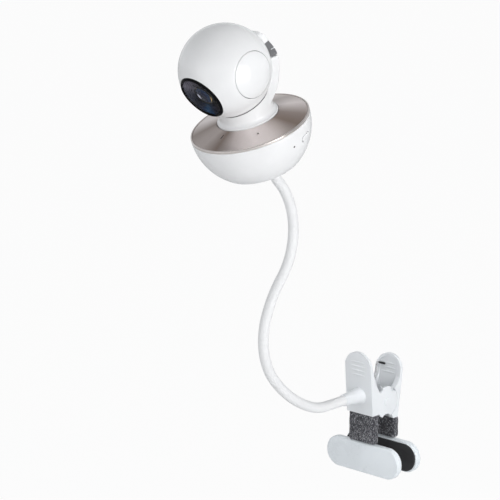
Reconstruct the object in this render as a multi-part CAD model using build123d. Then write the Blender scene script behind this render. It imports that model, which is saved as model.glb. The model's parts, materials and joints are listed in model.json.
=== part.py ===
"""Baby monitor camera: pan and tilt ball camera on a round base, carried by a bendable neck on a rail clip.

The row frame is in millimetres. +X runs along the rail, -Y faces the room, +Z is up. The origin is the
centre of the face that the front jaw presses against the rail.
"""

import os
from math import asin, atan2, cos, degrees, pi, radians, sin, sqrt, tan

from build123d import *

# ---- Driving dimensions -------------------------------------------------------------------------
# Rail clip
RAIL_GAP = 18.0              # distance between the two rail faces of the jaws
JAW_WIDTH = 30.0             # width of a jaw's handle
ARM_WIDTH = 26.6             # width of the arm inside the fabric sleeve
ARM_THICK = 5.0
HANDLE_THICK = 3.2
HANDLE_TOP = 101.0           # height of the top of the front handle
HANDLE_LEAN = 4.7            # how far the top of the front handle leans away from the pivot
HANDLE_FACE = 11.3           # from the rail face to the outside of the front handle's foot
CHEEK_FOOT = 42.6            # height of the lower edge of the front cheeks
REAR_HANDLE_TOP = 91.0
REAR_HANDLE_LEAN = 8.0
REAR_HANDLE_FACE = 7.4       # from the rear rail face to the outside of the rear handle's foot
REAR_CHEEK_FOOT = 34.6
WEB_HEIGHT = 3.5             # solid foot between a handle and its arm
PANEL_DEPTH = 0.8            # hollow in the inner face of a handle
PANEL_MARGIN = 2.6
PIVOT_HEIGHT = 52.0
EAR_RADIUS = 14.6            # outer ears of the front jaw about the pivot
INNER_EAR_RADIUS = 11.0      # inner ears of the rear jaw
CHEEK_THICK = 2.4
CHEEK_GAP = 0.4              # running gap between an outer and an inner cheek
PIN_RADIUS = 2.0
PIN_HEAD_RADIUS = 3.6
PIN_HEAD_THICK = 0.8
RUNNING_FIT = 0.05           # radial clearance of a shaft in its hole
SPRING_WIRE = 1.6
SPRING_RADIUS = 4.6          # mean radius of the coil about the pivot pin
SPRING_TURNS = 6
SPRING_LEG = 29.0            # height of the legs above the pivot
SPRING_KNEE = 12.5           # distance of a leg's upper end from the middle
SPRING_TIP = 9.0             # length of the bent tip of a leg
SPRING_CLEARANCE = 0.25      # between a leg and its handle
GRIP_RIDGES = 3
GRIP_RIDGE_PITCH = 4.4
GRIP_RIDGE_FIRST = 9.0       # from the top of the handle down to the first ridge
GRIP_RIDGE_RADIUS = 0.8
GRIP_RIDGE_LENGTH = 16.0

# Sleeves and pads of the jaws
SLEEVE_WALL = 1.6
SLEEVE_BOTTOM = 16.6
SLEEVE_CLEARANCE = 0.15
PAD_LENGTH = 84.0
PAD_HEIGHT = 28.6
PAD_THICK = 8.0              # from the rail face to the front of the pad
PAD_GRIP_THICK = 1.5         # rubber face on the rail side
PAD_ROUND = 1.4
TONGUE_WIDTH = 20.0
TONGUE_THICK = 3.0
TONGUE_DEPTH = 12.0          # how far the arm's tongue goes down into the pad

# Bendable neck: length and turn of each arc of its centre line, from the clip to the base
NECK_RUNS = (
    (22.9, 0.0), (21.6, 22.1), (59.1, 27.5), (61.5, 61.7),
    (35.0, 20.4), (92.3, -88.5), (11.0, 24.5), (12.0, 0.0),
)
NECK_RADIUS = 4.5
NECK_JOINTS = (36.0, 80.0, 124.0, 168.0, 212.0, 256.0)   # distance of each joint along the neck
NECK_CUP_GAP = 0.25          # between a joint's ball and the cup that turns on it
BOSS_LENGTH = 23.7
BOSS_RADIUS = 7.0
BOSS_TIP_RADIUS = 5.4
BOSS_HEIGHT = 60.0
FERRULE_LENGTH = 12.0
FERRULE_RADIUS = 6.0
FERRULE_TIP_RADIUS = 5.0

# Round base
BASE_RADIUS = 50.0
BOWL_SWELL = 48.5            # radius of the bowl's side in section
BOWL_DEPTH = 40.0
BOWL_WALL = 2.4
FLOOR_THICK = 3.0
RIM_HEIGHT = 2.4
RIM_DROP = 2.0               # how far the rim ring reaches below the plate's edge
RIM_WIDTH = 1.3
PLATE_GAP = 0.2
PLATE_THICK = 1.4
PLATE_RISE = 6.0             # height of the plate's inner edge over its outer edge
TURNTABLE_RADIUS = 26.0
TURNTABLE_TOP = 7.5
TURNTABLE_THICK = 2.7
TURNTABLE_GAP = 0.4
SPINDLE_RADIUS = 9.0
SPINDLE_BORE = 6.0
SPINDLE_FOOT = -9.0
BUSH_WALL = 3.0
SOCKET_OFFSET = 10.0         # the neck's socket lies this far behind the base axis
INSERT_RADIUS = 6.5
INSERT_LENGTH = 10.0
STUD_RADIUS = 3.1
STUD_LENGTH = 9.0
FOOT_RADIUS = 29.0
FOOT_WIDTH = 3.0
FOOT_THICK = 1.0

# Camera ball
BALL_RADIUS = 37.7
BALL_WALL = 2.4
BALL_HEIGHT = 51.7           # of its centre over the plate's edge
BALL_FORWARD = 8.9           # of its centre from the base axis
BALL_PITCH = 17.0            # how far the lens looks down, in degrees
BALL_SEAM = 24.0             # the rear cover starts this far behind the centre
BALL_GAP = 0.5               # between the ball and the yoke
HEAD_TURN = -4.5             # how far the yoke is turned to the side at rest, in degrees
YOKE_THICK = 7.8
YOKE_FOOT_WIDTH = 45.0       # width of the band at the turntable
YOKE_TOP_WIDTH = 37.0        # and at the antenna
YOKE_FRONT = -90.0            # angle of the front end of the band, inside the pedestal
PEDESTAL_RADIUS = 22.8
PEDESTAL_FILLET = 2.8        # hollow round the pedestal's foot
SLOT_WIDTH = 9.0
SLOT_FROM = -88.0            # the slot that lets the ball tilt about the bracket, in ball angles
SLOT_TO = -16.0
BRACKET_ANGLE = -45.0
BRACKET_WIDTH = 12.0
BRACKET_THICK = 6.0
BRACKET_BOSS = 7.5
AXLE_RADIUS = 2.5
AXLE_LENGTH = 52.0
CAP_RADIUS = 18.5
CAP_GROOVE = 0.4
CAP_BOSS_RADIUS = 5.5
LENS_RADIUS = 20.4
LENS_RING = 5.0
LENS_GAP = 0.3
BARREL_RADIUS = 7.0
BARREL_LENGTH = 17.0
IR_LED_COUNT = 8
IR_LED_RADIUS = 1.5
IR_LED_CIRCLE = 11.5

# Antenna
ANTENNA_FROM = -1.5          # angle of the antenna's hinge above the rearward direction
ANTENNA_TO = 36.0
ANTENNA_CAP_FROM = 10.0
ANTENNA_WIDTH = 36.6
ANTENNA_PIN_RADIUS = 0.8
ANTENNA_THICK = 7.0
HINGE_GAP = 0.4
HINGE_WIDTH = 23.0
KNUCKLE_WIDTH = 9.0          # middle knuckle of the hinge, on the yoke

# Gears
GEAR_MODULE = 1.0
GEAR_TEETH = 32
PINION_TEETH = 14
GEAR_WIDTH = 3.0
GEAR_BACKLASH = 0.25
PRESSURE_ANGLE = 20.0
TOOTH_ADDENDUM = 0.8         # stub teeth, in modules
TOOTH_DEDENDUM = 1.05
SECTOR_FROM = 30.0
SECTOR_TO = 104.0
MOTOR_SHAFT_RADIUS = 1.0

# Controls and inner parts
BUTTON_BEARING = 13.0        # of the power button, from +X towards the rear
BUTTON_HEIGHT = -14.0
POWER_LED_BEARING = -6.0
PAIR_BEARING = 167.0
INLET_BEARING = 90.0
INLET_HEIGHT = -16.0
INLET_DEPTH = 9.0
BUTTON_SIZE = (4.6, 11.0)
PAIR_RADIUS = 2.6
BUTTON_PROUD = 0.7
BUTTON_GAP = 0.2
BUTTON_DEEP = 4.2
INLET_SIZE = (4.4, 9.0)
LED_RADIUS = 0.9
SPEAKER_RADIUS = 10.0
SPEAKER_DEPTH = 7.0
SPEAKER_AT = 19.0
BOARD_BOTTOM = -24.0
BOARD_THICK = 1.6
BOARD_SIZE = (38.0, 22.0)
BOARD_AT = (-5.0, -21.0)
MOTOR_RADIUS = 11.0
MOTOR_LENGTH = 15.0
PAN_GEAR_TOP = -4.2
LIGHT_FROM_EDGE = 17.0       # status light, from the plate's edge
LIGHT_SIZE = (1.2, 4.6)
MIC_FROM_EDGE = 15.0
MIC_BEARING = 54.0
MIC_RADIUS = 3.0
PINION_ANGLE = 60.0          # direction from the tilt axle to the tilt pinion, in ball angles
CHASSIS_THICK = 1.6
TILT_MOTOR_RADIUS = 6.5
TILT_MOTOR_LENGTH = 10.0

# ---- Values worked out from the driving dimensions ----------------------------------------------
PIVOT_Y = RAIL_GAP / 2
ARM_FRONT = -PAD_THICK
ARM_BACK = ARM_FRONT + ARM_THICK
PAD_TOP = PAD_HEIGHT / 2
CENTRE_DISTANCE = GEAR_MODULE * (GEAR_TEETH + PINION_TEETH) / 2
BOWL_ARC_CENTRE = BASE_RADIUS - BOWL_SWELL
YOKE_INNER = BALL_RADIUS + BALL_GAP
YOKE_OUTER = YOKE_INNER + YOKE_THICK
BALL_CENTRE = (0, -BALL_FORWARD, BALL_HEIGHT)
BOARD_POSTS = tuple(
    (BOARD_AT[0] + side * (BOARD_SIZE[0] / 2 - 2), BOARD_AT[1] + end * (BOARD_SIZE[1] / 2 - 3))
    for side in (-1, 1)
    for end in (-1, 1)
)
MOTOR_TOP = PAN_GEAR_TOP - GEAR_WIDTH - 1.0
MOTOR_FLANGE_BOTTOM = MOTOR_TOP - 1.2
MOTOR_AT = (CENTRE_DISTANCE, 0.0)
MOTOR_POSTS = ((CENTRE_DISTANCE, 14.0), (CENTRE_DISTANCE, -14.0))
CHASSIS_AT = BRACKET_THICK / 2 + GEAR_WIDTH + 1.0
LIGHT_AT = BASE_RADIUS - LIGHT_FROM_EDGE
MIC_AT = BASE_RADIUS - MIC_FROM_EDGE
HINGE_REACH = YOKE_OUTER - ANTENNA_THICK / 2
HINGE_BARREL = ANTENNA_THICK / 2 - 0.1    # radius of the antenna's hinge barrel
YOKE_TOP = ANTENNA_FROM - degrees(asin((HINGE_BARREL + HINGE_GAP) / HINGE_REACH))
FRONT_HANDLE = (HANDLE_FACE, HANDLE_LEAN, CHEEK_FOOT, HANDLE_TOP)
REAR_HANDLE = (REAR_HANDLE_FACE, REAR_HANDLE_LEAN, REAR_CHEEK_FOOT, REAR_HANDLE_TOP)
FAR = 4 * BASE_RADIUS        # longer than any cut needs


# ---- Helpers ------------------------------------------------------------------------------------
def along_x(shape):
    """Turn a shape that was drawn about Z so that it lies about X."""
    return Rot(0, 90, 0) * shape


def rod_x(radius, x_from, x_to):
    """Round bar about the X axis between two stations."""
    return Pos((x_from + x_to) / 2, 0, 0) * along_x(Cylinder(radius, x_to - x_from))


def tube(outer, inner, z_from, z_to):
    """Round tube about Z between two heights."""
    middle = Pos(0, 0, (z_from + z_to) / 2)
    return middle * (Cylinder(outer, z_to - z_from) - Cylinder(inner, z_to - z_from))


def turned(*points):
    """Solid of revolution about Z from its half section, given as (radius, height) points."""
    return revolve(Plane.XZ * make_face(Polyline(*points, close=True)), Axis.Z)


def wedge_yz(angle_from, angle_to, width):
    """Sector about the X axis, with angles measured from +Y towards +Z."""
    steps = max(2, int(abs(angle_to - angle_from) / 30) + 2)
    spread = [radians(angle_from + (angle_to - angle_from) * i / (steps - 1)) for i in range(steps)]
    corners = [(0, 0)] + [(FAR * cos(a), FAR * sin(a)) for a in spread]
    return extrude(Plane.YZ * make_face(Polyline(*corners, close=True)), width / 2, both=True)


def mirrored_x(shape):
    """The shape and its mirror image across X = 0."""
    return shape + mirror(shape, Plane.YZ)


def shell_between(inner, outer):
    """Hollow ball between two radii."""
    return Sphere(outer) - Sphere(inner)


def involute(angle):
    """Involute function of a pressure angle in radians."""
    return tan(angle) - angle


def gear(teeth, bore, width, backlash=GEAR_BACKLASH, turn=0.0):
    """Spur gear about Z, from Z = 0 up, with a tooth centred on +X when turn is 0 (in degrees)."""
    pitch = GEAR_MODULE * teeth / 2
    base = pitch * cos(radians(PRESSURE_ANGLE))
    root = pitch - TOOTH_DEDENDUM * GEAR_MODULE
    tip = pitch + TOOTH_ADDENDUM * GEAR_MODULE
    start = max(base, root)
    half_at_pitch = pi / (2 * teeth) - backlash / (4 * pitch) + involute(radians(PRESSURE_ANGLE))

    def half_angle(radius):
        pressure = 0.0 if radius <= base else atan2(sqrt(radius**2 - base**2), base)
        return half_at_pitch - involute(pressure)

    flank = [(root, half_angle(start)), (pitch, half_angle(pitch)), (tip, half_angle(tip))]
    profile = [(radius, -angle) for radius, angle in flank] + list(reversed(flank))
    points = []
    for tooth in range(teeth):
        centre = 2 * pi * tooth / teeth + radians(turn)
        points += [(radius * cos(centre + angle), radius * sin(centre + angle)) for radius, angle in profile]
    return extrude(make_face(Polyline(*points, close=True)) - Circle(bore), width)


# ---- Neck centre line ---------------------------------------------------------------------------
def neck_station(distance):
    """Y, Z and heading in degrees (0 along -Y, 90 up) of the neck's centre line at a distance."""
    y, z, heading = -HANDLE_FACE - BOSS_LENGTH, BOSS_HEIGHT, 0.0
    left = distance
    for length, turn in NECK_RUNS:
        step = min(left, length)
        bend = turn * step / length
        chord = step if bend == 0 else 2 * step / radians(bend) * sin(radians(bend) / 2)
        middle = radians(heading + bend / 2)
        y -= chord * cos(middle)
        z += chord * sin(middle)
        heading += bend
        left -= step
        if left <= 0:
            break
    return y, z, heading


def neck_point(distance):
    """Point of the neck's centre line at a distance along it."""
    y, z, _ = neck_station(distance)
    return (0, y, z)


NECK_LENGTH = sum(length for length, _ in NECK_RUNS)
END_Y, END_Z, END_HEADING = neck_station(NECK_LENGTH)
HEAD_LEAN = 90.0 - END_HEADING
NECK_END_PLACE = Location((0, END_Y, END_Z)) * Location((0, 0, 0), (HEAD_LEAN, 0, 0))
HEAD_PLACE = NECK_END_PLACE * Location((0, -SOCKET_OFFSET, BOWL_DEPTH))
YOKE_PLACE = HEAD_PLACE * Rot(0, 0, HEAD_TURN) * Location(BALL_CENTRE)
BALL_PLACE = YOKE_PLACE * Rot(BALL_PITCH, 0, 0)


# ---- Rail clip ----------------------------------------------------------------------------------
def handle_face(handle, height):
    """Y of the outside of a handle at a height."""
    face, lean, foot, top = handle
    return -face - lean * (height - foot) / (top - foot)


def jaw_blank(handle):
    """Leaning handle with a rounded top and a hollow inside, its foot, and the arm down to the pad."""
    face, lean, foot, top = handle
    web_top = foot + WEB_HEIGHT
    side = Polyline(
        (-face, foot),
        (-face - lean, top),
        (-face - lean + HANDLE_THICK, top),
        (handle_face(handle, web_top) + HANDLE_THICK, web_top),
        (ARM_BACK, web_top),
        (ARM_BACK, SLEEVE_BOTTOM),
        (ARM_FRONT, SLEEVE_BOTTOM),
        (ARM_FRONT, foot),
        close=True,
    )
    slab = extrude(Plane.YZ * make_face(side), JAW_WIDTH / 2, both=True)
    round_top = top - JAW_WIDTH / 2
    handle_front = Pos(0, (foot + round_top) / 2) * Rectangle(JAW_WIDTH, round_top - foot)
    handle_front += Pos(0, round_top) * Circle(JAW_WIDTH / 2)
    arm_front = Pos(0, (SLEEVE_BOTTOM + web_top) / 2) * Rectangle(ARM_WIDTH, web_top - SLEEVE_BOTTOM)
    body = slab & extrude(Plane.XZ * (handle_front + arm_front), FAR, both=True)
    panel_radius = JAW_WIDTH / 2 - PANEL_MARGIN
    panel = Pos(0, round_top) * Circle(panel_radius)
    point = Polyline((-panel_radius, round_top), (panel_radius, round_top), (0, PIVOT_HEIGHT), close=True)
    panel += make_face(point)
    lean_angle = degrees(atan2(lean, top - foot))
    panel_floor = handle_face(handle, round_top) + HANDLE_THICK - PANEL_DEPTH
    inside = Pos(0, panel_floor, round_top) * Rot(lean_angle, 0, 0)
    cut = inside * Pos(0, 0, -round_top) * extrude(Plane.XZ * panel, -JAW_WIDTH / 2)
    body -= cut
    tongue_middle = (ARM_FRONT + ARM_BACK) / 2
    tongue_bottom = PAD_TOP - TONGUE_DEPTH
    body += Pos(0, tongue_middle, (SLEEVE_BOTTOM + tongue_bottom) / 2) * Box(
        TONGUE_WIDTH, TONGUE_THICK, SLEEVE_BOTTOM - tongue_bottom
    )
    for ridge in range(GRIP_RIDGES):
        height = top - GRIP_RIDGE_FIRST - ridge * GRIP_RIDGE_PITCH
        half = GRIP_RIDGE_LENGTH / 2
        body += Pos(0, handle_face(handle, height) + 0.15, height) * rod_x(GRIP_RIDGE_RADIUS, -half, half)
    return body


def cheek_plate(outline, discs, outside, inside):
    """Pair of cheek plates between two distances from the middle, from an outline and added discs."""
    face = make_face(Polyline(*outline, close=True))
    for (y, z), radius in discs:
        face += Pos(y, z) * Circle(radius)
    plate = Pos(inside, 0, 0) * extrude(Plane.YZ * face, outside - inside)
    return mirrored_x(plate)


def pin_bore():
    """Bore for the pivot pin."""
    return Pos(0, PIVOT_Y, PIVOT_HEIGHT) * rod_x(PIN_RADIUS + RUNNING_FIT, -FAR, FAR)


def front_jaw():
    """Front jaw: its outer cheeks carry wide ears with a hump between two notches, and an arch below."""
    y, z = PIVOT_Y, PIVOT_HEIGHT
    top = z + 38.5
    outline = (
        (-HANDLE_FACE, CHEEK_FOOT), (handle_face(FRONT_HANDLE, top) + 0.6, top),
        (handle_face(FRONT_HANDLE, top) + 2.4, top), (y - 19.4, z + 29.9), (y - 16.2, z + 20.4),
        (y - 10.3, z + 10.5), (y, z), (y, z - 10.8), (y - 7, z - 10.8),
    )
    half = JAW_WIDTH / 2
    cheeks = cheek_plate(outline, (((y, z), EAR_RADIUS),), half, half - CHEEK_THICK)
    notches = rod_x(3.4, -FAR, FAR)
    cheeks -= Pos(0, y - 8.6, z + 14.2) * notches
    cheeks -= Pos(0, y + 9.6, z + 12.6) * rod_x(4.6, -FAR, FAR)
    cheeks -= Pos(0, y - 0.5, z - 18.5) * rod_x(7.6, -FAR, FAR)
    past_sleeve = ARM_BACK + SLEEVE_WALL + 0.6
    cheeks -= Pos(0, past_sleeve - FAR / 2, CHEEK_FOOT - FAR / 2) * Box(FAR, FAR, FAR)
    return jaw_blank(FRONT_HANDLE) + cheeks - pin_bore()


def rear_jaw():
    """Rear jaw, drawn as a front one: inner cheeks on the pin, and flush sides round the front ears."""
    y, z = PIVOT_Y, PIVOT_HEIGHT
    top = z + 28.5
    outline = (
        (-REAR_HANDLE_FACE, REAR_CHEEK_FOOT), (handle_face(REAR_HANDLE, top) + 0.6, top),
        (handle_face(REAR_HANDLE, top) + 2.4, top), (y - 18.9, z + 19.9), (y - 14.8, z + 13.7),
        (y - 9.5, z + 9.5), (y, z), (y, z - 10.0), (y - 6.8, z - 12.4), (y - 9.6, REAR_CHEEK_FOOT),
    )
    half = JAW_WIDTH / 2
    inner = half - CHEEK_THICK - CHEEK_GAP
    cheeks = cheek_plate(outline, (((y, z), INNER_EAR_RADIUS),), inner, inner - CHEEK_THICK)
    sides = cheek_plate(outline, (), half, inner - CHEEK_THICK)
    sides -= Pos(0, y, z) * rod_x(EAR_RADIUS + CHEEK_GAP, -FAR, FAR)
    return jaw_blank(REAR_HANDLE) + cheeks + sides - pin_bore()


def to_rear(shape):
    """Mirror image of a front jaw piece, on the other side of the rail."""
    return mirror(shape, Plane.XZ.offset(-PIVOT_Y))


def sleeve(handle):
    """Knitted sleeve round a front jaw's arm, up to its handle's foot."""
    height = handle[2] - 0.2 - SLEEVE_BOTTOM + 1.0
    hollow_thick = ARM_THICK + 2 * SLEEVE_CLEARANCE
    hollow_width = ARM_WIDTH + 2 * SLEEVE_CLEARANCE
    outer = RectangleRounded(hollow_width + 2 * SLEEVE_WALL, hollow_thick + 2 * SLEEVE_WALL, 2.5)
    ring = outer - Rectangle(hollow_width, hollow_thick)
    return Pos(0, (ARM_FRONT + ARM_BACK) / 2, SLEEVE_BOTTOM - 1.0) * extrude(ring, height)


def pad():
    """Pill-shaped pad plate with a slot for the arm's tongue."""
    outline = Plane.XZ.offset(PAD_GRIP_THICK) * SlotOverall(PAD_LENGTH, PAD_HEIGHT)
    plate = extrude(outline, PAD_THICK - PAD_GRIP_THICK)
    plate = fillet(plate.faces().sort_by(Axis.Y)[0].edges(), PAD_ROUND)
    slot_middle = (ARM_FRONT + ARM_BACK) / 2
    depth = TONGUE_DEPTH + 0.2
    slot = Box(TONGUE_WIDTH + 0.2, TONGUE_THICK + 0.2, depth, align=(Align.CENTER, Align.CENTER, Align.MAX))
    return plate - Pos(0, slot_middle, PAD_TOP) * slot


def pad_grip():
    """Rubber face of a pad, against the rail."""
    return extrude(Plane.XZ * SlotOverall(PAD_LENGTH - 3, PAD_HEIGHT - 3), PAD_GRIP_THICK)


def pivot_pin():
    """Pin through both pairs of ears, with a flat round head outside each."""
    half = JAW_WIDTH / 2
    pin = rod_x(PIN_RADIUS, -half, half)
    pin += mirrored_x(rod_x(PIN_HEAD_RADIUS, half, half + PIN_HEAD_THICK))
    return Pos(0, PIVOT_Y, PIVOT_HEIGHT) * pin


def torsion_spring():
    """Torsion spring about the pivot pin, with a leg and a bent tip along the inside of each handle."""
    pitch = SPRING_WIRE * 1.25
    span = pitch * SPRING_TURNS
    coil_path = Helix(pitch=pitch, height=span, radius=SPRING_RADIUS)
    start = coil_path @ 0
    section = Plane(origin=start, z_dir=coil_path % 0) * RegularPolygon(SPRING_WIRE / 2, 8)
    coil = Pos(-span / 2, 0, 0) * Rot(0, 90, 0) * sweep(section, path=coil_path, is_frenet=True)
    parts = coil
    for side, handle in ((-1, FRONT_HANDLE), (1, REAR_HANDLE)):
        face = -handle_face(handle, PIVOT_HEIGHT + SPRING_LEG) - HANDLE_THICK + PIVOT_Y
        top_y = side * (face - SPRING_WIRE / 2 - SPRING_CLEARANCE)
        foot = (-side * span / 2, side * SPRING_RADIUS, 0)
        knee = (-side * SPRING_KNEE, top_y, SPRING_LEG)
        tip = (-side * (SPRING_KNEE - SPRING_TIP), top_y, SPRING_LEG)
        path = FilletPolyline(foot, knee, tip, radius=SPRING_WIRE)
        leg_section = Plane(origin=foot, z_dir=path % 0) * RegularPolygon(SPRING_WIRE / 2, 8)
        parts += sweep(leg_section, path=path)
    return Pos(0, PIVOT_Y, PIVOT_HEIGHT) * parts


def neck_boss():
    """Conical boss on the front handle that the neck comes out of."""
    seat = handle_face(FRONT_HANDLE, BOSS_HEIGHT)
    length = BOSS_LENGTH + HANDLE_FACE + seat
    at_seat = Pos(0, seat, BOSS_HEIGHT)
    forward = at_seat * Rot(90, 0, 0)
    cone = forward * Cone(BOSS_RADIUS, BOSS_TIP_RADIUS, length, align=(Align.CENTER, Align.CENTER, Align.MIN))
    cone += forward * Cylinder(BOSS_RADIUS, 1.2)
    lean_angle = degrees(atan2(HANDLE_LEAN, HANDLE_TOP - CHEEK_FOOT))
    behind = at_seat * Rot(lean_angle, 0, 0) * Pos(0, FAR / 2 - 0.02, 0)
    return cone - behind * Box(FAR, FAR, FAR)


# ---- Bendable neck ------------------------------------------------------------------------------
def neck_tube(start, stop):
    """Tube along the neck's centre line between two distances, arc by arc."""
    stations = [start]
    reached = 0.0
    for length, _ in NECK_RUNS:
        reached += length
        if start + 0.5 < reached < stop - 0.5:
            stations.append(reached)
    stations.append(stop)
    pieces = []
    for near, far in zip(stations, stations[1:]):
        heading_near, heading_far = neck_station(near)[2], neck_station(far)[2]
        if abs(heading_far - heading_near) < 0.01:
            pieces.append(Line(neck_point(near), neck_point(far)))
        else:
            pieces.append(ThreePointArc(neck_point(near), neck_point((near + far) / 2), neck_point(far)))
    path = Wire(pieces) if len(pieces) > 1 else pieces[0]
    heading = radians(neck_station(start)[2])
    section = Plane(origin=neck_point(start), z_dir=(0, -cos(heading), sin(heading))) * Circle(NECK_RADIUS)
    return sweep(section, path=path)


def neck_segment(index):
    """Neck piece between two joints: a cup at its near end and a ball at its far end."""
    stops = (0.0,) + NECK_JOINTS + (NECK_LENGTH - FERRULE_LENGTH,)
    segment = neck_tube(stops[index], stops[index + 1])
    if index < len(NECK_JOINTS):
        segment += Pos(*neck_point(stops[index + 1])) * Sphere(NECK_RADIUS)
    if index > 0:
        segment -= Pos(*neck_point(stops[index])) * Sphere(NECK_RADIUS + NECK_CUP_GAP)
    return segment


# ---- Round base, in head coordinates: +Z along the pan axis, -Y to the front, Z = 0 at the plate's edge --
def bowl_solid(swell, floor):
    """Solid of the bowl's form with a given side radius and floor height."""
    reach = BOWL_ARC_CENTRE + sqrt(swell**2 - (floor + RIM_DROP) ** 2)
    half = asin((-floor - RIM_DROP) / swell) / 2
    middle = (BOWL_ARC_CENTRE + swell * cos(half), -RIM_DROP - swell * sin(half))
    rim = (BOWL_ARC_CENTRE + swell, -RIM_DROP)
    outline = Line((0, -RIM_DROP), rim) + ThreePointArc(rim, middle, (reach, floor))
    outline += Line((reach, floor), (0, floor)) + Line((0, floor), (0, -RIM_DROP))
    return revolve(Plane.XZ * make_face(outline), Axis.Z)


def bowl_place(bearing, height):
    """Place on the bowl's outside at a bearing from +X towards the rear: +Z points out of the wall."""
    drop = asin((-height - RIM_DROP) / BOWL_SWELL)
    reach = BOWL_ARC_CENTRE + BOWL_SWELL * cos(drop)
    return Rot(0, 0, bearing) * Pos(reach, 0, height) * Rot(0, 90 + degrees(drop), 0)


POWER_BUTTON = bowl_place(BUTTON_BEARING, BUTTON_HEIGHT)
POWER_LED = bowl_place(POWER_LED_BEARING, BUTTON_HEIGHT - 0.5)
PAIR_BUTTON = bowl_place(PAIR_BEARING, BUTTON_HEIGHT)
INLET = bowl_place(INLET_BEARING, INLET_HEIGHT)


def bowl_shell():
    """Bowl of the base with its floor, wall openings and inner bosses."""
    shell = bowl_solid(BOWL_SWELL, -BOWL_DEPTH) - bowl_solid(BOWL_SWELL - BOWL_WALL, FLOOR_THICK - BOWL_DEPTH)
    floor_edge = shell.edges().filter_by(GeomType.CIRCLE).sort_by(Axis.Z)[0]
    shell = fillet(floor_edge, 4.0)
    floor_top = FLOOR_THICK - BOWL_DEPTH
    insert_top = INSERT_LENGTH - BOWL_DEPTH
    shell += Pos(0, SOCKET_OFFSET, 0) * tube(INSERT_RADIUS + 2.5, INSERT_RADIUS, floor_top, insert_top)
    shell -= Pos(0, SOCKET_OFFSET, 0) * Pos(0, 0, -BOWL_DEPTH) * Cylinder(INSERT_RADIUS, 4 * FLOOR_THICK)
    shell -= tube(FOOT_RADIUS, FOOT_RADIUS - FOOT_WIDTH, -BOWL_DEPTH - 1, -BOWL_DEPTH + FOOT_THICK / 2)
    inside = bowl_solid(BOWL_SWELL - BOWL_WALL / 2, FLOOR_THICK / 2 - BOWL_DEPTH)
    for x, y in BOARD_POSTS:
        shell += Pos(x, y, 0) * tube(2.6, 0.9, floor_top, BOARD_BOTTOM) & inside
    for x, y in MOTOR_POSTS:
        shell += Pos(x, y, 0) * tube(2.4, 0.8, floor_top, MOTOR_FLANGE_BOTTOM)
    gap = 2 * BUTTON_GAP
    button_slot = SlotOverall(BUTTON_SIZE[1] + gap, BUTTON_SIZE[0] + gap, rotation=90)
    shell -= POWER_BUTTON * extrude(button_slot, FAR / 8, both=True)
    shell -= PAIR_BUTTON * Cylinder(PAIR_RADIUS + BUTTON_GAP, FAR / 8)
    shell -= POWER_LED * Cylinder(LED_RADIUS, FAR / 8)
    shell -= INLET * Box(INLET_SIZE[0], INLET_SIZE[1], FAR / 8)
    return shell




def rim_ring():
    """Pearl ring round the edge of the top plate, on the bowl's wall."""
    inner_wall = BASE_RADIUS - BOWL_WALL
    lip = BASE_RADIUS - RIM_WIDTH
    top = RIM_HEIGHT - RIM_DROP
    ring = turned(
        (inner_wall, -RIM_DROP), (BASE_RADIUS, -RIM_DROP), (BASE_RADIUS, top), (lip, top),
        (lip, -RIM_DROP + 0.8), (inner_wall, -RIM_DROP + 0.8),
    )
    return ring


def top_plate():
    """Dished metal plate with a seat for the turntable, a light slit and a microphone hole."""
    edge = BASE_RADIUS - RIM_WIDTH - PLATE_GAP
    inner = TURNTABLE_RADIUS + PLATE_GAP
    under = -RIM_DROP + 0.8
    seat = TURNTABLE_TOP - TURNTABLE_THICK - TURNTABLE_GAP
    hole = SPINDLE_RADIUS + BUSH_WALL
    rise = PLATE_RISE
    top_arc = ThreePointArc((edge, 0.2), ((edge + inner) / 2, 0.2 + rise * 0.55), (inner, rise))
    outline = Line((edge, under), (edge, 0.2)) + top_arc
    outline += Polyline(
        (inner, rise), (inner, seat), (hole, seat), (hole, seat - PLATE_THICK),
        (inner + PLATE_THICK, seat - PLATE_THICK), (edge - 2.5, under), (edge, under),
    )
    plate = revolve(Plane.XZ * make_face(outline), Axis.Z)
    plate -= Pos(0, -LIGHT_AT, 0) * Box(LIGHT_SIZE[0] + 0.1, LIGHT_SIZE[1] + 0.1, FAR / 8)
    plate -= Rot(0, 0, MIC_BEARING) * Pos(0, -MIC_AT, 0) * Cylinder(0.7, FAR / 8)
    return plate




def plate_height(radius):
    """Rough height of the plate's underside at a radius."""
    edge = BASE_RADIUS - RIM_WIDTH - PLATE_GAP
    inner = TURNTABLE_RADIUS + PLATE_GAP + PLATE_THICK
    seat = TURNTABLE_TOP - TURNTABLE_THICK - TURNTABLE_GAP
    share = (edge - 2.5 - radius) / (edge - 2.5 - inner)
    return -RIM_DROP + 0.8 + share * (seat - PLATE_THICK + RIM_DROP - 0.8)


def status_light():
    """Light guide in the plate's slit."""
    low = plate_height(LIGHT_AT)
    high = PLATE_RISE * 0.72
    guide = Pos(0, -LIGHT_AT, (low + high) / 2) * Box(LIGHT_SIZE[0], LIGHT_SIZE[1], high - low)
    floor = -BOWL_DEPTH
    under_top = turned(
        (0, floor), (BASE_RADIUS, floor), (BASE_RADIUS, -0.4),
        (TURNTABLE_RADIUS, PLATE_RISE + 0.1), (0, PLATE_RISE + 0.1),
    )
    return guide & under_top


def microphone():
    """Microphone capsule under its hole."""
    low = plate_height(MIC_AT + MIC_RADIUS)
    return Rot(0, 0, MIC_BEARING) * Pos(0, -MIC_AT, low - 1.05) * Cylinder(MIC_RADIUS, 2.0)


def pan_bush():
    """Bearing bush of the turntable's spindle."""
    seat = TURNTABLE_TOP - TURNTABLE_THICK - TURNTABLE_GAP
    outer = SPINDLE_RADIUS + BUSH_WALL
    bush = tube(outer, SPINDLE_RADIUS + RUNNING_FIT, seat - 7.0, seat)
    return bush + tube(outer + 2.5, outer, seat - PLATE_THICK - 1.5, seat - PLATE_THICK)


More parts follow.
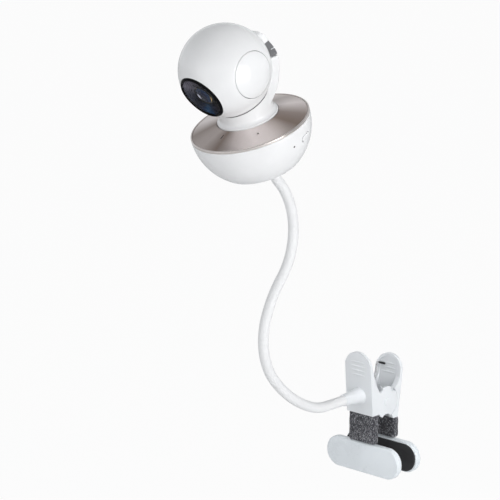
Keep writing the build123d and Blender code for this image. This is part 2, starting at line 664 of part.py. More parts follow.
def main_board():
    """Main circuit board with its larger parts."""
    board_middle = Pos(BOARD_AT[0], BOARD_AT[1], BOARD_BOTTOM + BOARD_THICK / 2)
    board = board_middle * Box(BOARD_SIZE[0], BOARD_SIZE[1], BOARD_THICK)
    top = BOARD_BOTTOM + BOARD_THICK
    low = (Align.CENTER, Align.CENTER, Align.MIN)
    board += Pos(BOARD_AT[0] - 8, BOARD_AT[1], top) * Box(14, 14, 1.4, align=low)
    board += Pos(BOARD_AT[0] + 12, BOARD_AT[1] + 3, top) * Cylinder(3.2, 7, align=low)
    board += Pos(BOARD_AT[0] + 4, BOARD_AT[1] - 6, top) * Box(6, 6, 1, align=low)
    return board


def speaker():
    """Small round speaker on the floor of the bowl."""
    floor_top = FLOOR_THICK - BOWL_DEPTH
    radius, magnet, depth = SPEAKER_RADIUS, SPEAKER_RADIUS * 0.55, SPEAKER_DEPTH
    basket = turned((0, 0), (radius, 0), (radius, depth * 0.3), (magnet, depth * 0.6), (magnet, depth), (0, depth))
    return Pos(0, -SPEAKER_AT, floor_top) * basket


def power_inlet():
    """Power socket in the rear wall."""
    body = Box(INLET_SIZE[0] - 0.2, INLET_SIZE[1] - 0.2, 9.0, align=(Align.CENTER, Align.CENTER, Align.MAX))
    mouth = Box(INLET_SIZE[0] - 1.6, INLET_SIZE[1] - 1.6, 6.5, align=(Align.CENTER, Align.CENTER, Align.MAX))
    tongue = Box(0.7, INLET_SIZE[1] - 3.6, 6.5, align=(Align.CENTER, Align.CENTER, Align.MAX))
    return INLET * Pos(0, 0, -0.6) * (body - mouth + tongue)


def power_button():
    """Pill-shaped button in the bowl's side."""
    cap = extrude(SlotOverall(BUTTON_SIZE[1], BUTTON_SIZE[0], rotation=90), BUTTON_DEEP + BUTTON_PROUD)
    cap = fillet(cap.faces().sort_by(Axis.Z)[-1].edges(), 0.5)
    return POWER_BUTTON * Pos(0, 0, -BUTTON_DEEP) * cap


def pair_button():
    """Round pairing button on the other side of the bowl."""
    cap = Cylinder(PAIR_RADIUS, BUTTON_DEEP + BUTTON_PROUD, align=(Align.CENTER, Align.CENTER, Align.MIN))
    return PAIR_BUTTON * Pos(0, 0, -BUTTON_DEEP) * cap


def power_light():
    """Light guide beside the power button."""
    return POWER_LED * Cylinder(LED_RADIUS, BOWL_WALL + 0.4, align=(Align.CENTER, Align.CENTER, Align.MAX))


def pan_motor():
    """Pan motor can with its flange and shaft."""
    can = Pos(*MOTOR_AT, 0) * tube_solid(MOTOR_RADIUS, MOTOR_TOP - MOTOR_LENGTH, MOTOR_TOP)
    flange = Pos(MOTOR_AT[0], 0, MOTOR_TOP - 0.6) * extrude(SlotOverall(35, 7, rotation=90), 1.2 / 2, both=True)
    shaft = Pos(*MOTOR_AT, 0) * tube_solid(MOTOR_SHAFT_RADIUS, MOTOR_TOP, PAN_GEAR_TOP + 0.5)
    return can + flange + shaft


def tube_solid(radius, z_from, z_to):
    """Round bar about Z between two heights."""
    return Pos(0, 0, (z_from + z_to) / 2) * Cylinder(radius, z_to - z_from)


def pan_gear():
    """Gear on the turntable's spindle."""
    return Pos(0, 0, PAN_GEAR_TOP - GEAR_WIDTH) * gear(GEAR_TEETH, SPINDLE_RADIUS, GEAR_WIDTH)


def pan_pinion():
    """Pinion on the pan motor's shaft, in mesh with the pan gear."""
    wheel = gear(PINION_TEETH, MOTOR_SHAFT_RADIUS + RUNNING_FIT, GEAR_WIDTH, turn=180 + 180 / PINION_TEETH)
    return Pos(*MOTOR_AT, PAN_GEAR_TOP - GEAR_WIDTH) * wheel


def threaded_insert():
    """Threaded metal insert in the floor."""
    return Pos(0, SOCKET_OFFSET, 0) * tube(INSERT_RADIUS, STUD_RADIUS, -BOWL_DEPTH, INSERT_LENGTH - BOWL_DEPTH)


def neck_stud():
    """Threaded stud of the neck in the insert."""
    return Pos(0, SOCKET_OFFSET, 0) * tube_solid(STUD_RADIUS, -BOWL_DEPTH, STUD_LENGTH - BOWL_DEPTH)


def neck_ferrule():
    """Tapered ferrule at the neck's upper end."""
    cone = Cone(FERRULE_TIP_RADIUS, FERRULE_RADIUS, FERRULE_LENGTH, align=(Align.CENTER, Align.CENTER, Align.MAX))
    return Pos(0, SOCKET_OFFSET, -BOWL_DEPTH) * cone


def foot_ring():
    """Rubber ring let into the floor of the bowl."""
    return tube(FOOT_RADIUS, FOOT_RADIUS - FOOT_WIDTH, -BOWL_DEPTH - FOOT_THICK / 2, -BOWL_DEPTH + FOOT_THICK / 2)


# ---- Yoke, in head coordinates ------------------------------------------------------------------
def about_ball(shape):
    """Move a shape that was drawn about the ball's centre into head coordinates."""
    return Rot(0, 0, HEAD_TURN) * Pos(*BALL_CENTRE) * shape


def band_taper():
    """Solid that narrows the band from its foot up to the antenna, about the ball's centre."""
    low, high = -2 * BALL_HEIGHT, BALL_HEIGHT
    slope = (YOKE_FOOT_WIDTH - YOKE_TOP_WIDTH) / 2 / BALL_HEIGHT
    foot, head = YOKE_TOP_WIDTH / 2 - slope * low, YOKE_TOP_WIDTH / 2 - slope * high
    outline = make_face(Polyline((-foot, low), (foot, low), (head, high), (-head, high), close=True))
    return extrude(Plane.XZ * outline, FAR, both=True)


def yoke():
    """Turntable, pedestal, the band that hugs the rear of the ball, and the antenna's knuckle."""
    disc_low = TURNTABLE_TOP - TURNTABLE_THICK
    rim = TURNTABLE_RADIUS - TURNTABLE_GAP
    crown = BALL_HEIGHT - YOKE_INNER * 0.6
    hollow = PEDESTAL_FILLET * (1 - sqrt(0.5))
    foot = ThreePointArc(
        (PEDESTAL_RADIUS + PEDESTAL_FILLET - 0.6, TURNTABLE_TOP),
        (PEDESTAL_RADIUS + hollow, TURNTABLE_TOP + hollow),
        (PEDESTAL_RADIUS, TURNTABLE_TOP + PEDESTAL_FILLET),
    )
    outline = Polyline((0, disc_low), (rim, disc_low), (rim, TURNTABLE_TOP), foot @ 0) + foot
    outline += Polyline(foot @ 1, (PEDESTAL_RADIUS + 0.6, crown), (0, crown), (0, disc_low))
    body = revolve(Plane.XZ * make_face(outline), Axis.Z)
    band = shell_between(YOKE_INNER, YOKE_OUTER) & wedge_yz(YOKE_FRONT, YOKE_TOP, FAR) & band_taper()
    above_disc = Pos(0, 0, TURNTABLE_TOP - 0.5) * Box(FAR, FAR, FAR, align=(Align.CENTER, Align.CENTER, Align.MIN))
    body += about_ball(band) & above_disc
    body -= about_ball(Sphere(YOKE_INNER))
    half = KNUCKLE_WIDTH / 2
    web = Box(KNUCKLE_WIDTH, HINGE_BARREL, 3 * HINGE_BARREL, align=(Align.CENTER, Align.MAX, Align.MAX))
    knuckle = rod_x(HINGE_BARREL, -half, half) + Pos(0, 0.5, 0) * web
    body += about_ball(antenna_axis(knuckle) - Sphere(YOKE_INNER + 0.3))
    body += tube_solid(SPINDLE_RADIUS, SPINDLE_FOOT, disc_low)
    body -= Pos(0, 0, SPINDLE_FOOT) * Cylinder(SPINDLE_BORE, 2 * (disc_low - SPINDLE_FOOT) - 2)
    return body - about_ball(antenna_axis(rod_x(ANTENNA_PIN_RADIUS, -FAR, FAR)))


def antenna_axis(shape):
    """Move a shape drawn about X onto the antenna's hinge, about the ball's centre."""
    angle = radians(ANTENNA_FROM)
    return Pos(0, HINGE_REACH * cos(angle), HINGE_REACH * sin(angle)) * Rot(ANTENNA_FROM, 0, 0) * shape


def tilt_bracket():
    """Bracket from the yoke through the ball's slot to the tilt axle, with the tilt gear's seat."""
    arm = Box(BRACKET_THICK, FAR, BRACKET_WIDTH, align=(Align.CENTER, Align.MIN, Align.CENTER))
    arm = Rot(BRACKET_ANGLE, 0, 0) * arm & Sphere(YOKE_INNER - 0.1)
    boss = rod_x(BRACKET_BOSS, -BRACKET_THICK / 2, BRACKET_THICK / 2)
    return about_ball(arm + boss - rod_x(AXLE_RADIUS, -FAR, FAR))


def tilt_axle():
    """Steel axle of the ball."""
    return about_ball(rod_x(AXLE_RADIUS, -AXLE_LENGTH / 2, AXLE_LENGTH / 2))


def tilt_gear():
    """Toothed sector fixed to the bracket, about the tilt axle."""
    turn = PINION_ANGLE + BALL_PITCH
    wheel = along_x_from_yz(gear(GEAR_TEETH, AXLE_RADIUS, GEAR_WIDTH, turn=turn))
    hub = rod_x(BRACKET_BOSS, 0, GEAR_WIDTH) - rod_x(AXLE_RADIUS, -FAR, FAR)
    sector = (wheel & wedge_yz(SECTOR_FROM, SECTOR_TO, FAR)) + hub
    return about_ball(Pos(BRACKET_THICK / 2, 0, 0) * sector)


def along_x_from_yz(shape):
    """Turn a shape drawn about Z so that its X and Y lie along +Y and +Z and it grows along +X."""
    return Location(Plane.YZ) * shape




def antenna_section(inner, outer, angle_from, angle_to, width):
    """Part of the antenna's curved blade, cut to the blade's rounded outline."""
    middle = (ANTENNA_FROM + ANTENNA_TO) / 2
    tip = YOKE_OUTER * sin(radians(ANTENNA_TO - middle))
    outline = Pos(0, tip - FAR / 2) * RectangleRounded(width, FAR, width / 2.4)
    outward = Location((0, 0, 0), (middle, 0, 0)) * Location(Plane.XZ)
    blade = shell_between(inner, outer) & wedge_yz(angle_from, angle_to, width)
    return blade & outward * extrude(outline, -FAR)


def antenna_core():
    """Grey foot of the antenna with its hinge barrel, open in the middle for the yoke's knuckle."""
    inner = YOKE_OUTER - ANTENNA_THICK
    opening = KNUCKLE_WIDTH + 2 * HINGE_GAP
    blade = antenna_section(inner, YOKE_OUTER, YOKE_TOP + 1.0, ANTENNA_CAP_FROM, ANTENNA_WIDTH)
    blade += antenna_axis(rod_x(HINGE_BARREL, -HINGE_WIDTH / 2, HINGE_WIDTH / 2))
    blade -= antenna_axis(rod_x(HINGE_BARREL + HINGE_GAP, -opening / 2, opening / 2))
    blade -= antenna_axis(Box(opening, FAR, FAR, align=(Align.CENTER, Align.CENTER, Align.MAX)))
    sweep_room = Box(FAR, FAR, FAR, align=(Align.CENTER, Align.MIN, Align.MAX)) - rod_x(HINGE_BARREL, -FAR, FAR)
    blade -= antenna_axis(sweep_room)
    blade -= antenna_axis(rod_x(ANTENNA_PIN_RADIUS + RUNNING_FIT, -FAR, FAR))
    return about_ball(blade)


def antenna_cap():
    """White rounded upper part of the antenna."""
    inner = YOKE_OUTER - ANTENNA_THICK
    return about_ball(antenna_section(inner, YOKE_OUTER + 0.3, ANTENNA_CAP_FROM, ANTENNA_TO, ANTENNA_WIDTH))


def antenna_pin():
    """Hinge pin of the antenna, through the yoke's knuckle."""
    return about_ball(antenna_axis(rod_x(ANTENNA_PIN_RADIUS, 0.8 - HINGE_WIDTH / 2, HINGE_WIDTH / 2 - 0.8)))


# ---- Ball, in ball coordinates: X along the tilt axle, -Y along the view ------------------------------
def ball_form():
    """Hollow ball with its lens opening, axle openings and bracket slot."""
    form = shell_between(BALL_RADIUS - BALL_WALL, BALL_RADIUS)
    form -= Pos(0, -FAR / 2, 0) * Rot(90, 0, 0) * Cylinder(LENS_RADIUS + LENS_GAP, FAR)
    form -= rod_x(CAP_RADIUS + CAP_GROOVE, -FAR, FAR)
    return form - wedge_yz(SLOT_FROM, SLOT_TO, SLOT_WIDTH)


def ball_shell():
    """Front part of the ball."""
    return ball_form() & Pos(0, BALL_SEAM - FAR / 2, 0) * Box(FAR, FAR, FAR)


def ball_rear_cover():
    """Rear part of the ball."""
    return ball_form() & Pos(0, BALL_SEAM + 0.1 + FAR / 2, 0) * Box(FAR, FAR, FAR)


def side_cap(side):
    """Round cap over an axle opening, with a flange behind the shell and a bored boss for the axle."""
    inner = BALL_RADIUS - BALL_WALL
    disc = shell_between(inner - 0.1, BALL_RADIUS) & rod_x(CAP_RADIUS, 0, FAR)
    flange = shell_between(inner - 1.7, inner - 0.1) & rod_x(CAP_RADIUS + 2.0, 0, FAR)
    boss_from = AXLE_LENGTH / 2 - 12.0
    boss = rod_x(CAP_BOSS_RADIUS, boss_from, inner) & Sphere(inner)
    cap = disc + flange + boss - rod_x(AXLE_RADIUS + RUNNING_FIT, 0, AXLE_LENGTH / 2 + 0.3)
    return cap if side > 0 else mirror(cap, Plane.YZ)


LENS_FRONT = sqrt(BALL_RADIUS**2 - LENS_RADIUS**2)


def facing(shape):
    """Turn a shape drawn about Z so that its +Z looks out through the lens opening."""
    return Rot(90, 0, 0) * shape


def lens_bezel():
    """Glossy black ring in the ball's front opening."""
    inner = LENS_RADIUS - LENS_RING
    return facing(turned(
        (LENS_RADIUS, LENS_FRONT - 6.0), (LENS_RADIUS, LENS_FRONT), (LENS_RADIUS - 1.0, LENS_FRONT + 0.5),
        (inner, LENS_FRONT + 0.9), (inner, LENS_FRONT - 2.0), (inner - 1.5, LENS_FRONT - 2.0),
        (inner - 1.5, LENS_FRONT - 6.0),
    ))


def domed_disc(radius, low, edge, crown):
    """Disc about Z with a flat underside and a domed top, from its edge height to its crown."""
    rise = crown - edge
    sphere = (radius**2 + rise**2) / (2 * rise)
    half = asin(radius / sphere) / 2
    middle = (sphere * sin(half), crown - sphere + sphere * cos(half))
    outline = Line((0, low), (radius, low)) + Line((radius, low), (radius, edge))
    outline += ThreePointArc((radius, edge), middle, (0, crown))
    outline += Line((0, crown), (0, low))
    return revolve(Plane.XZ * make_face(outline), Axis.Z)


def lens_window():
    """Domed dark window inside the ring."""
    radius = LENS_RADIUS - LENS_RING - 0.05
    return facing(domed_disc(radius, LENS_FRONT - 2.0, LENS_FRONT + 0.6, LENS_FRONT + 1.9))


def lens_barrel():
    """Lens barrel behind the window."""
    front = LENS_FRONT - 3.0
    barrel = turned(
        (0, front - BARREL_LENGTH), (BARREL_RADIUS, front - BARREL_LENGTH), (BARREL_RADIUS, front - 6),
        (BARREL_RADIUS + 1.2, front - 5), (BARREL_RADIUS + 1.2, front), (4.5, front), (3.4, front - 2.0), (0, front - 2.0),
    )
    return facing(barrel)


def lens_glass():
    """Front lens in the barrel."""
    front = LENS_FRONT - 3.0
    return facing(domed_disc(3.4, front - 2.0, front - 1.8, front - 0.8))


def ir_board():
    """Ring board that carries the infrared lights."""
    top = LENS_FRONT - 6.05
    return facing(tube(LENS_RADIUS - 0.5, BARREL_RADIUS + 1.4, top - 1.2, top))


def ir_lights():
    """Infrared lights on their ring board, as separate lamps."""
    top = LENS_FRONT - 6.05
    lamp = tube_solid(IR_LED_RADIUS, top, top + 2.4) + Pos(0, 0, top + 2.4) * Sphere(IR_LED_RADIUS)
    turns = [360 / IR_LED_COUNT * (index + 0.5) for index in range(IR_LED_COUNT)]
    return Compound(children=[facing(Rot(0, 0, turn) * Pos(IR_LED_CIRCLE, 0, 0) * lamp) for turn in turns])


def image_board():
    """Image sensor board behind the barrel."""
    rear = LENS_FRONT - 3.0 - BARREL_LENGTH
    return facing(Pos(0, 0, rear - 0.65) * Box(22, 22, 1.2))


def chassis():
    """Inner plate that carries the tilt motor and stiffens the ball."""
    far_side = CHASSIS_AT + CHASSIS_THICK
    reach = sqrt((BALL_RADIUS - BALL_WALL - 0.1) ** 2 - far_side**2)
    plate = rod_x(reach, CHASSIS_AT, far_side)
    plate -= Pos(0, -FAR / 2 - 9.0, 0) * Box(FAR, FAR, FAR)
    plate -= rod_x(AXLE_RADIUS + 2.0, -FAR, FAR)
    return plate - pinion_place(rod_x(MOTOR_SHAFT_RADIUS + 0.3, -FAR, FAR))


def pinion_place(shape):
    """Move a shape drawn about X onto the tilt pinion's axis."""
    angle = radians(PINION_ANGLE)
    return Pos(0, CENTRE_DISTANCE * cos(angle), CENTRE_DISTANCE * sin(angle)) * shape


def tilt_motor():
    """Tilt motor on the chassis, with its shaft through the plate."""
    start = CHASSIS_AT + CHASSIS_THICK
    can = rod_x(TILT_MOTOR_RADIUS, start, start + TILT_MOTOR_LENGTH)
    return pinion_place(can + rod_x(MOTOR_SHAFT_RADIUS, BRACKET_THICK / 2, start))


def tilt_pinion():
    """Pinion on the tilt motor's shaft, in mesh with the toothed sector."""
    wheel = gear(
        PINION_TEETH, MOTOR_SHAFT_RADIUS + RUNNING_FIT, GEAR_WIDTH,
        turn=PINION_ANGLE + 180 + 180 / PINION_TEETH,
    )
    return pinion_place(Pos(BRACKET_THICK / 2, 0, 0) * along_x_from_yz(wheel))


# ---- Assembly -----------------------------------------------------------------------------------
def assembly():
    """Every node's shape in the row frame, by name."""
    nodes = {
        "front_jaw": front_jaw(),
        "rear_jaw": to_rear(rear_jaw()),
        "pivot_pin": pivot_pin(),
        "torsion_spring": torsion_spring(),
        "front_sleeve": sleeve(FRONT_HANDLE),
        "rear_sleeve": to_rear(sleeve(REAR_HANDLE)),
        "front_pad": pad(),
        "rear_pad": to_rear(pad()),
        "front_pad_grip": pad_grip(),
        "rear_pad_grip": to_rear(pad_grip()),
        "neck_boss": neck_boss(),
    }
    for index in range(len(NECK_JOINTS) + 1):
        nodes[f"neck_segment_{index + 1}"] = neck_segment(index)
    head = {
        "neck_ferrule": neck_ferrule(),
        "neck_stud": neck_stud(),
        "threaded_insert": threaded_insert(),
        "bowl_shell": bowl_shell(),
        "foot_ring": foot_ring(),
        "rim_ring": rim_ring(),
        "top_plate": top_plate(),
        "status_light": status_light(),
        "microphone": microphone(),
        "pan_bush": pan_bush(),
        "main_board": main_board(),
        "speaker": speaker(),
        "power_inlet": power_inlet(),
        "power_button": power_button(),
        "power_light": power_light(),
        "pair_button": pair_button(),
        "pan_motor": pan_motor(),
        "pan_pinion": pan_pinion(),
        "pan_gear": pan_gear(),
        "yoke": yoke(),
        "tilt_bracket": tilt_bracket(),
        "tilt_axle": tilt_axle(),
        "tilt_gear": tilt_gear(),
        "antenna_core": antenna_core(),
        "antenna_cap": antenna_cap(),
        "antenna_pin": antenna_pin(),
    }
    ball = {
        "ball_shell": ball_shell(),
        "ball_rear_cover": ball_rear_cover(),
        "side_cap_left": side_cap(-1),
        "side_cap_right": side_cap(1),
        "lens_bezel": lens_bezel(),
        "lens_window": lens_window(),
        "lens_barrel": lens_barrel(),
        "lens_glass": lens_glass(),
        "ir_board": ir_board(),
        "ir_lights": ir_lights(),
        "image_board": image_board(),
        "ball_chassis": chassis(),
        "tilt_motor": tilt_motor(),
        "tilt_pinion": tilt_pinion(),
    }
    nodes.update({name: HEAD_PLACE * shape for name, shape in head.items()})
    nodes.update({name: BALL_PLACE * shape for name, shape in ball.items()})
    return nodes


def main():
    """Write one STEP file per node."""
    os.makedirs("parts", exist_ok=True)
    for name, shape in assembly().items():
        export_step(shape, f"parts/{name}.step")
    origin = HEAD_PLACE.position
    axle = YOKE_PLACE.position
    print(f"plate centre {origin}, tilt axle {axle}, base leans {HEAD_LEAN:.2f} degrees, neck {NECK_LENGTH:.1f} mm")


if __name__ == "__main__":
    main()
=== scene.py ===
"""Dressed scene of a baby monitor camera: ball camera, round base, bendable neck and rail clip.

Sizes are in millimetres and are turned into metres where a mesh is made. Every piece is made in the row
frame: +X along the rail, -Y to the room, +Z up.
"""

from __future__ import annotations

import json
import logging
from dataclasses import dataclass
from enum import Enum
from functools import cache
from math import acos, asin, atan2, cos, degrees, hypot, pi, radians, sin, sqrt

import bmesh
import bpy
import numpy as np
from mathutils import Matrix, Vector


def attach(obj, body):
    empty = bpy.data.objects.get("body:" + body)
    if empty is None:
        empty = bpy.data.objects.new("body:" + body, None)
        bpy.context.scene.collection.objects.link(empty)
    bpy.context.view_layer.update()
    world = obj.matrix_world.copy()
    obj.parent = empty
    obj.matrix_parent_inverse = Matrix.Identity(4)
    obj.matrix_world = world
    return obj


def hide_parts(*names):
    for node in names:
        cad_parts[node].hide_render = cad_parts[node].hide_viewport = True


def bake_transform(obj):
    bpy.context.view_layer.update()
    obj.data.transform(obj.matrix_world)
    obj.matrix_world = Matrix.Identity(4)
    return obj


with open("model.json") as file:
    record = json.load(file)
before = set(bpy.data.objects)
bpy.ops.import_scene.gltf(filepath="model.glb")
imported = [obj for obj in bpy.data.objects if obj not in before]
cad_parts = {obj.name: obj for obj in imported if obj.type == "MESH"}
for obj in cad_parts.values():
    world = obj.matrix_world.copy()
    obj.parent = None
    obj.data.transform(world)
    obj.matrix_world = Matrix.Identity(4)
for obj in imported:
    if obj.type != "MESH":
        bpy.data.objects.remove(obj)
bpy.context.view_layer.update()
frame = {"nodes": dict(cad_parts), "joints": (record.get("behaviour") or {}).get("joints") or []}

LOG = logging.getLogger("baby_monitor_camera")
MM = 0.001
Point = tuple[float, float]
Space = tuple[float, float, float]
Stops = tuple[tuple[float, Space], ...]
Object = bpy.types.Object
Node = bpy.types.Node
Socket = bpy.types.NodeSocket
NodeTree = bpy.types.NodeTree


class Body(str, Enum):
    """CAD bodies that the pieces ride on."""

    CLIP = "clip"
    REAR_JAW = "rear_jaw"
    BASE = "base"
    YOKE = "yoke"
    BALL = "ball"
    ANTENNA = "antenna"
    POWER_BUTTON = "power_button"
    PAIR_BUTTON = "pair_button"


# ---- Frames ---------------------------------------------------------------------------------------
def joint(name: str) -> dict:
    """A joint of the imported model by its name."""
    return next(entry for entry in frame["joints"] if entry["name"] == name)


def placed(origin_m: Space, x_axis: Space, z_axis: Space) -> Matrix:
    """Matrix from local millimetres to row metres.

    Args:
        origin_m: Place of the local origin, in metres.
        x_axis: Direction of local X.
        z_axis: Direction of local Z, square to local X.

    Returns:
        The 4x4 matrix, with the millimetre scale in it.
    """
    across, up = Vector(x_axis).normalized(), Vector(z_axis).normalized()
    turn = Matrix((across, up.cross(across), up)).transposed().to_4x4()
    return Matrix.Translation(origin_m) @ turn @ Matrix.Scale(MM, 4)


PAN, TILT = joint("pan"), joint("tilt")
BALL_PITCH = 17.0
ROW_SPACE = Matrix.Scale(MM, 4)
HEAD_SPACE = placed(PAN["pos_m"], (1, 0, 0), PAN["axis"])
YOKE_SPACE = placed(TILT["pos_m"], TILT["axis"], PAN["axis"])
BALL_SPACE = YOKE_SPACE @ Matrix.Rotation(radians(BALL_PITCH), 4, "X")
ABOUT_X = Matrix(((0, 0, 1, 0), (1, 0, 0, 0), (0, 1, 0, 0), (0, 0, 0, 1)))
FRONT_VIEW = Matrix(((1, 0, 0, 0), (0, 0, 1, 0), (0, 1, 0, 0), (0, 0, 0, 1)))
TO_LENS = Matrix.Rotation(radians(90), 4, "X")


# ---- Outlines -------------------------------------------------------------------------------------
def arc(centre: Point, radius: float, start: float, stop: float, steps: int = 24) -> list[Point]:
    """Points of a circular arc.

    Args:
        centre: Centre of the arc.
        radius: Its radius.
        start: First angle in degrees.
        stop: Last angle in degrees.
        steps: Number of spans.

    Returns:
        The points, both ends included.
    """
    turns = [radians(start + (stop - start) * i / steps) for i in range(steps + 1)]
    return [(centre[0] + radius * cos(t), centre[1] + radius * sin(t)) for t in turns]


def rounded(
    points: list[Point], radii: list[float] | float, closed: bool = True, steps: int = 5,
) -> list[Point]:
    """Outline with its corners turned into arcs.

    Args:
        points: Corners in order.
        radii: One radius, or one for each corner.
        closed: Whether the last corner joins the first.
        steps: Spans of each arc.

    Returns:
        The rounded outline's points.
    """
    count = len(points)
    sizes = radii if isinstance(radii, list) else [radii] * count
    result: list[Point] = []
    for i, (corner, size) in enumerate(zip(points, sizes)):
        if size <= 0 or (not closed and i in (0, count - 1)):
            result.append(corner)
            continue
        here, before, after = Vector(corner), Vector(points[i - 1]), Vector(points[(i + 1) % count])
        back, ahead = (before - here).normalized(), (after - here).normalized()
        half = acos(max(-1.0, min(1.0, back.dot(ahead)))) / 2
        if half > radians(89):
            result.append(corner)
            continue
        reach = min(size / np.tan(half), 0.49 * (before - here).length, 0.49 * (after - here).length)
        radius = reach * np.tan(half)
        middle = here + (back + ahead).normalized() * (radius / sin(half))
        first, last = here + back * reach - middle, here + ahead * reach - middle
        angle = first.angle_signed(last)
        for k in range(steps + 1):
            turned = first.copy()
            turned.rotate(Matrix.Rotation(-angle * k / steps, 2))
            result.append(tuple(middle + turned))
    return result


def circle(radius: float, steps: int, centre: Point = (0.0, 0.0)) -> list[Point]:
    """Outline of a circle."""
    turns = np.linspace(0, 2 * pi, steps, endpoint=False)
    return [(centre[0] + radius * cos(t), centre[1] + radius * sin(t)) for t in turns]


def box(half: Point, centre: Point = (0.0, 0.0)) -> list[Point]:
    """Corners of a rectangle with the given half sizes."""
    (w, h), (x, y) = half, centre
    return [(x - w, y - h), (x + w, y - h), (x + w, y + h), (x - w, y + h)]


# ---- Meshes ---------------------------------------------------------------------------------------
def new_object(name: str, data: bpy.types.ID) -> Object:
    """New object in the scene."""
    made = bpy.data.objects.new(name, data)
    bpy.context.scene.collection.objects.link(made)
    return made


def add_mesh(name: str, points: list, faces: list, place: Matrix) -> Object:
    """Object from points in a local space, with its place in its mesh and its faces turned outwards."""
    mesh = bpy.data.meshes.new(name)
    mesh.from_pydata([place @ Vector(p) for p in points], [], faces)
    work = bmesh.new()
    work.from_mesh(mesh)
    bmesh.ops.remove_doubles(work, verts=work.verts, dist=1e-7)
    bmesh.ops.recalc_face_normals(work, faces=work.faces)
    work.to_mesh(mesh)
    work.free()
    return new_object(name, mesh)


def lathe(
    name: str, profile: list[Point], place: Matrix, steps: int = 160, closed: bool = False,
    start: float = 0.0, sweep: float = 360.0,
) -> Object:
    """Surface of revolution about local Z.

    Args:
        name: Name of the piece.
        profile: (radius, height) points.
        place: Matrix from local millimetres to row metres.
        steps: Spans round the axis.
        closed: Whether the profile is a loop. An open one has both ends on the axis.
        start: First angle in degrees.
        sweep: Angle turned through. Below 360, both ends are capped.

    Returns:
        The new object.
    """
    whole = sweep >= 360.0
    rings = steps if whole else steps + 1
    count = len(profile)
    points, faces = [], []
    for k in range(rings):
        turn = radians(start + sweep * k / steps)
        points += [(r * cos(turn), r * sin(turn), z) for r, z in profile]
    spans = count if closed else count - 1
    for k in range(steps):
        a, b = k * count, ((k + 1) % rings) * count
        for i in range(spans):
            j = (i + 1) % count
            faces.append((a + i, a + j, b + j, b + i))
    if not whole:
        faces += [tuple(range(count)), tuple(range((rings - 1) * count, rings * count))]
    return add_mesh(name, points, faces, place)


def prism(name: str, outline: list[Point], low: float, high: float, place: Matrix) -> Object:
    """Outline in local X and Y, drawn out along local Z from low to high."""
    count = len(outline)
    points = [(x, y, low) for x, y in outline] + [(x, y, high) for x, y in outline]
    faces = [tuple(range(count)), tuple(range(count, 2 * count))]
    faces += [(i, (i + 1) % count, count + (i + 1) % count, count + i) for i in range(count)]
    return add_mesh(name, points, faces, place)


def bake(piece: Object) -> Object:
    """Turn a piece's modifiers into its plain mesh."""
    graph = bpy.context.evaluated_depsgraph_get()
    mesh = bpy.data.meshes.new_from_object(piece.evaluated_get(graph))
    piece.modifiers.clear()
    old = piece.data
    piece.data = mesh
    if isinstance(old, bpy.types.Mesh):
        bpy.data.meshes.remove(old)
    return piece


def alter(piece: Object, kind: str, **settings: object) -> Object:
    """Bake one modifier of a kind, with its settings, into a piece."""
    change = piece.modifiers.new(kind.lower(), kind)
    for key, value in settings.items():
        setattr(change, key, value)
    return bake(piece)


def carve(piece: Object, other: Object, mode: str = "DIFFERENCE") -> Object:
    """Cut, join or intersect a piece with another, which is used up."""
    alter(piece, "BOOLEAN", object=other, operation=mode, solver="EXACT")
    bpy.data.objects.remove(other)
    return piece


def soften(piece: Object, width: float, segments: int = 3, angle: float = 32.0) -> Object:
    """Round a piece's sharp edges."""
    return alter(
        piece, "BEVEL", width=width * MM, segments=segments, limit_method="ANGLE", angle_limit=radians(angle),
        miter_outer="MITER_ARC", use_clamp_overlap=True,
    )


def smooth(piece: Object, angle: float = 35.0) -> Object:
    """Shade a piece smoothly except across edges sharper than an angle."""
    piece.data.shade_smooth()
    piece.data.set_sharp_from_angle(angle=radians(angle))
    return piece


def round_normals(piece: Object, centre: Vector, radius: float, slack: float = 0.02) -> None:
    """Give the faces that lie on a ball the ball's exact normals, so that cuts leave no shading marks.

    Args:
        piece: The piece, already shaded smoothly.
        centre: Centre of the ball, in metres.
        radius: Radius of the ball in millimetres.
        slack: How far off the ball a corner may lie, in millimetres.
    """
    mesh = piece.data
    normals = [corner.vector.copy() for corner in mesh.corner_normals]
    far = [abs((v.co - centre).length - radius * MM) for v in mesh.vertices]
    for face in mesh.polygons:
        if all(far[i] < slack * MM for i in face.vertices):
            for loop in face.loop_indices:
                normals[loop] = (mesh.vertices[mesh.loops[loop].vertex_index].co - centre).normalized()
    mesh.normals_split_custom_set(normals)


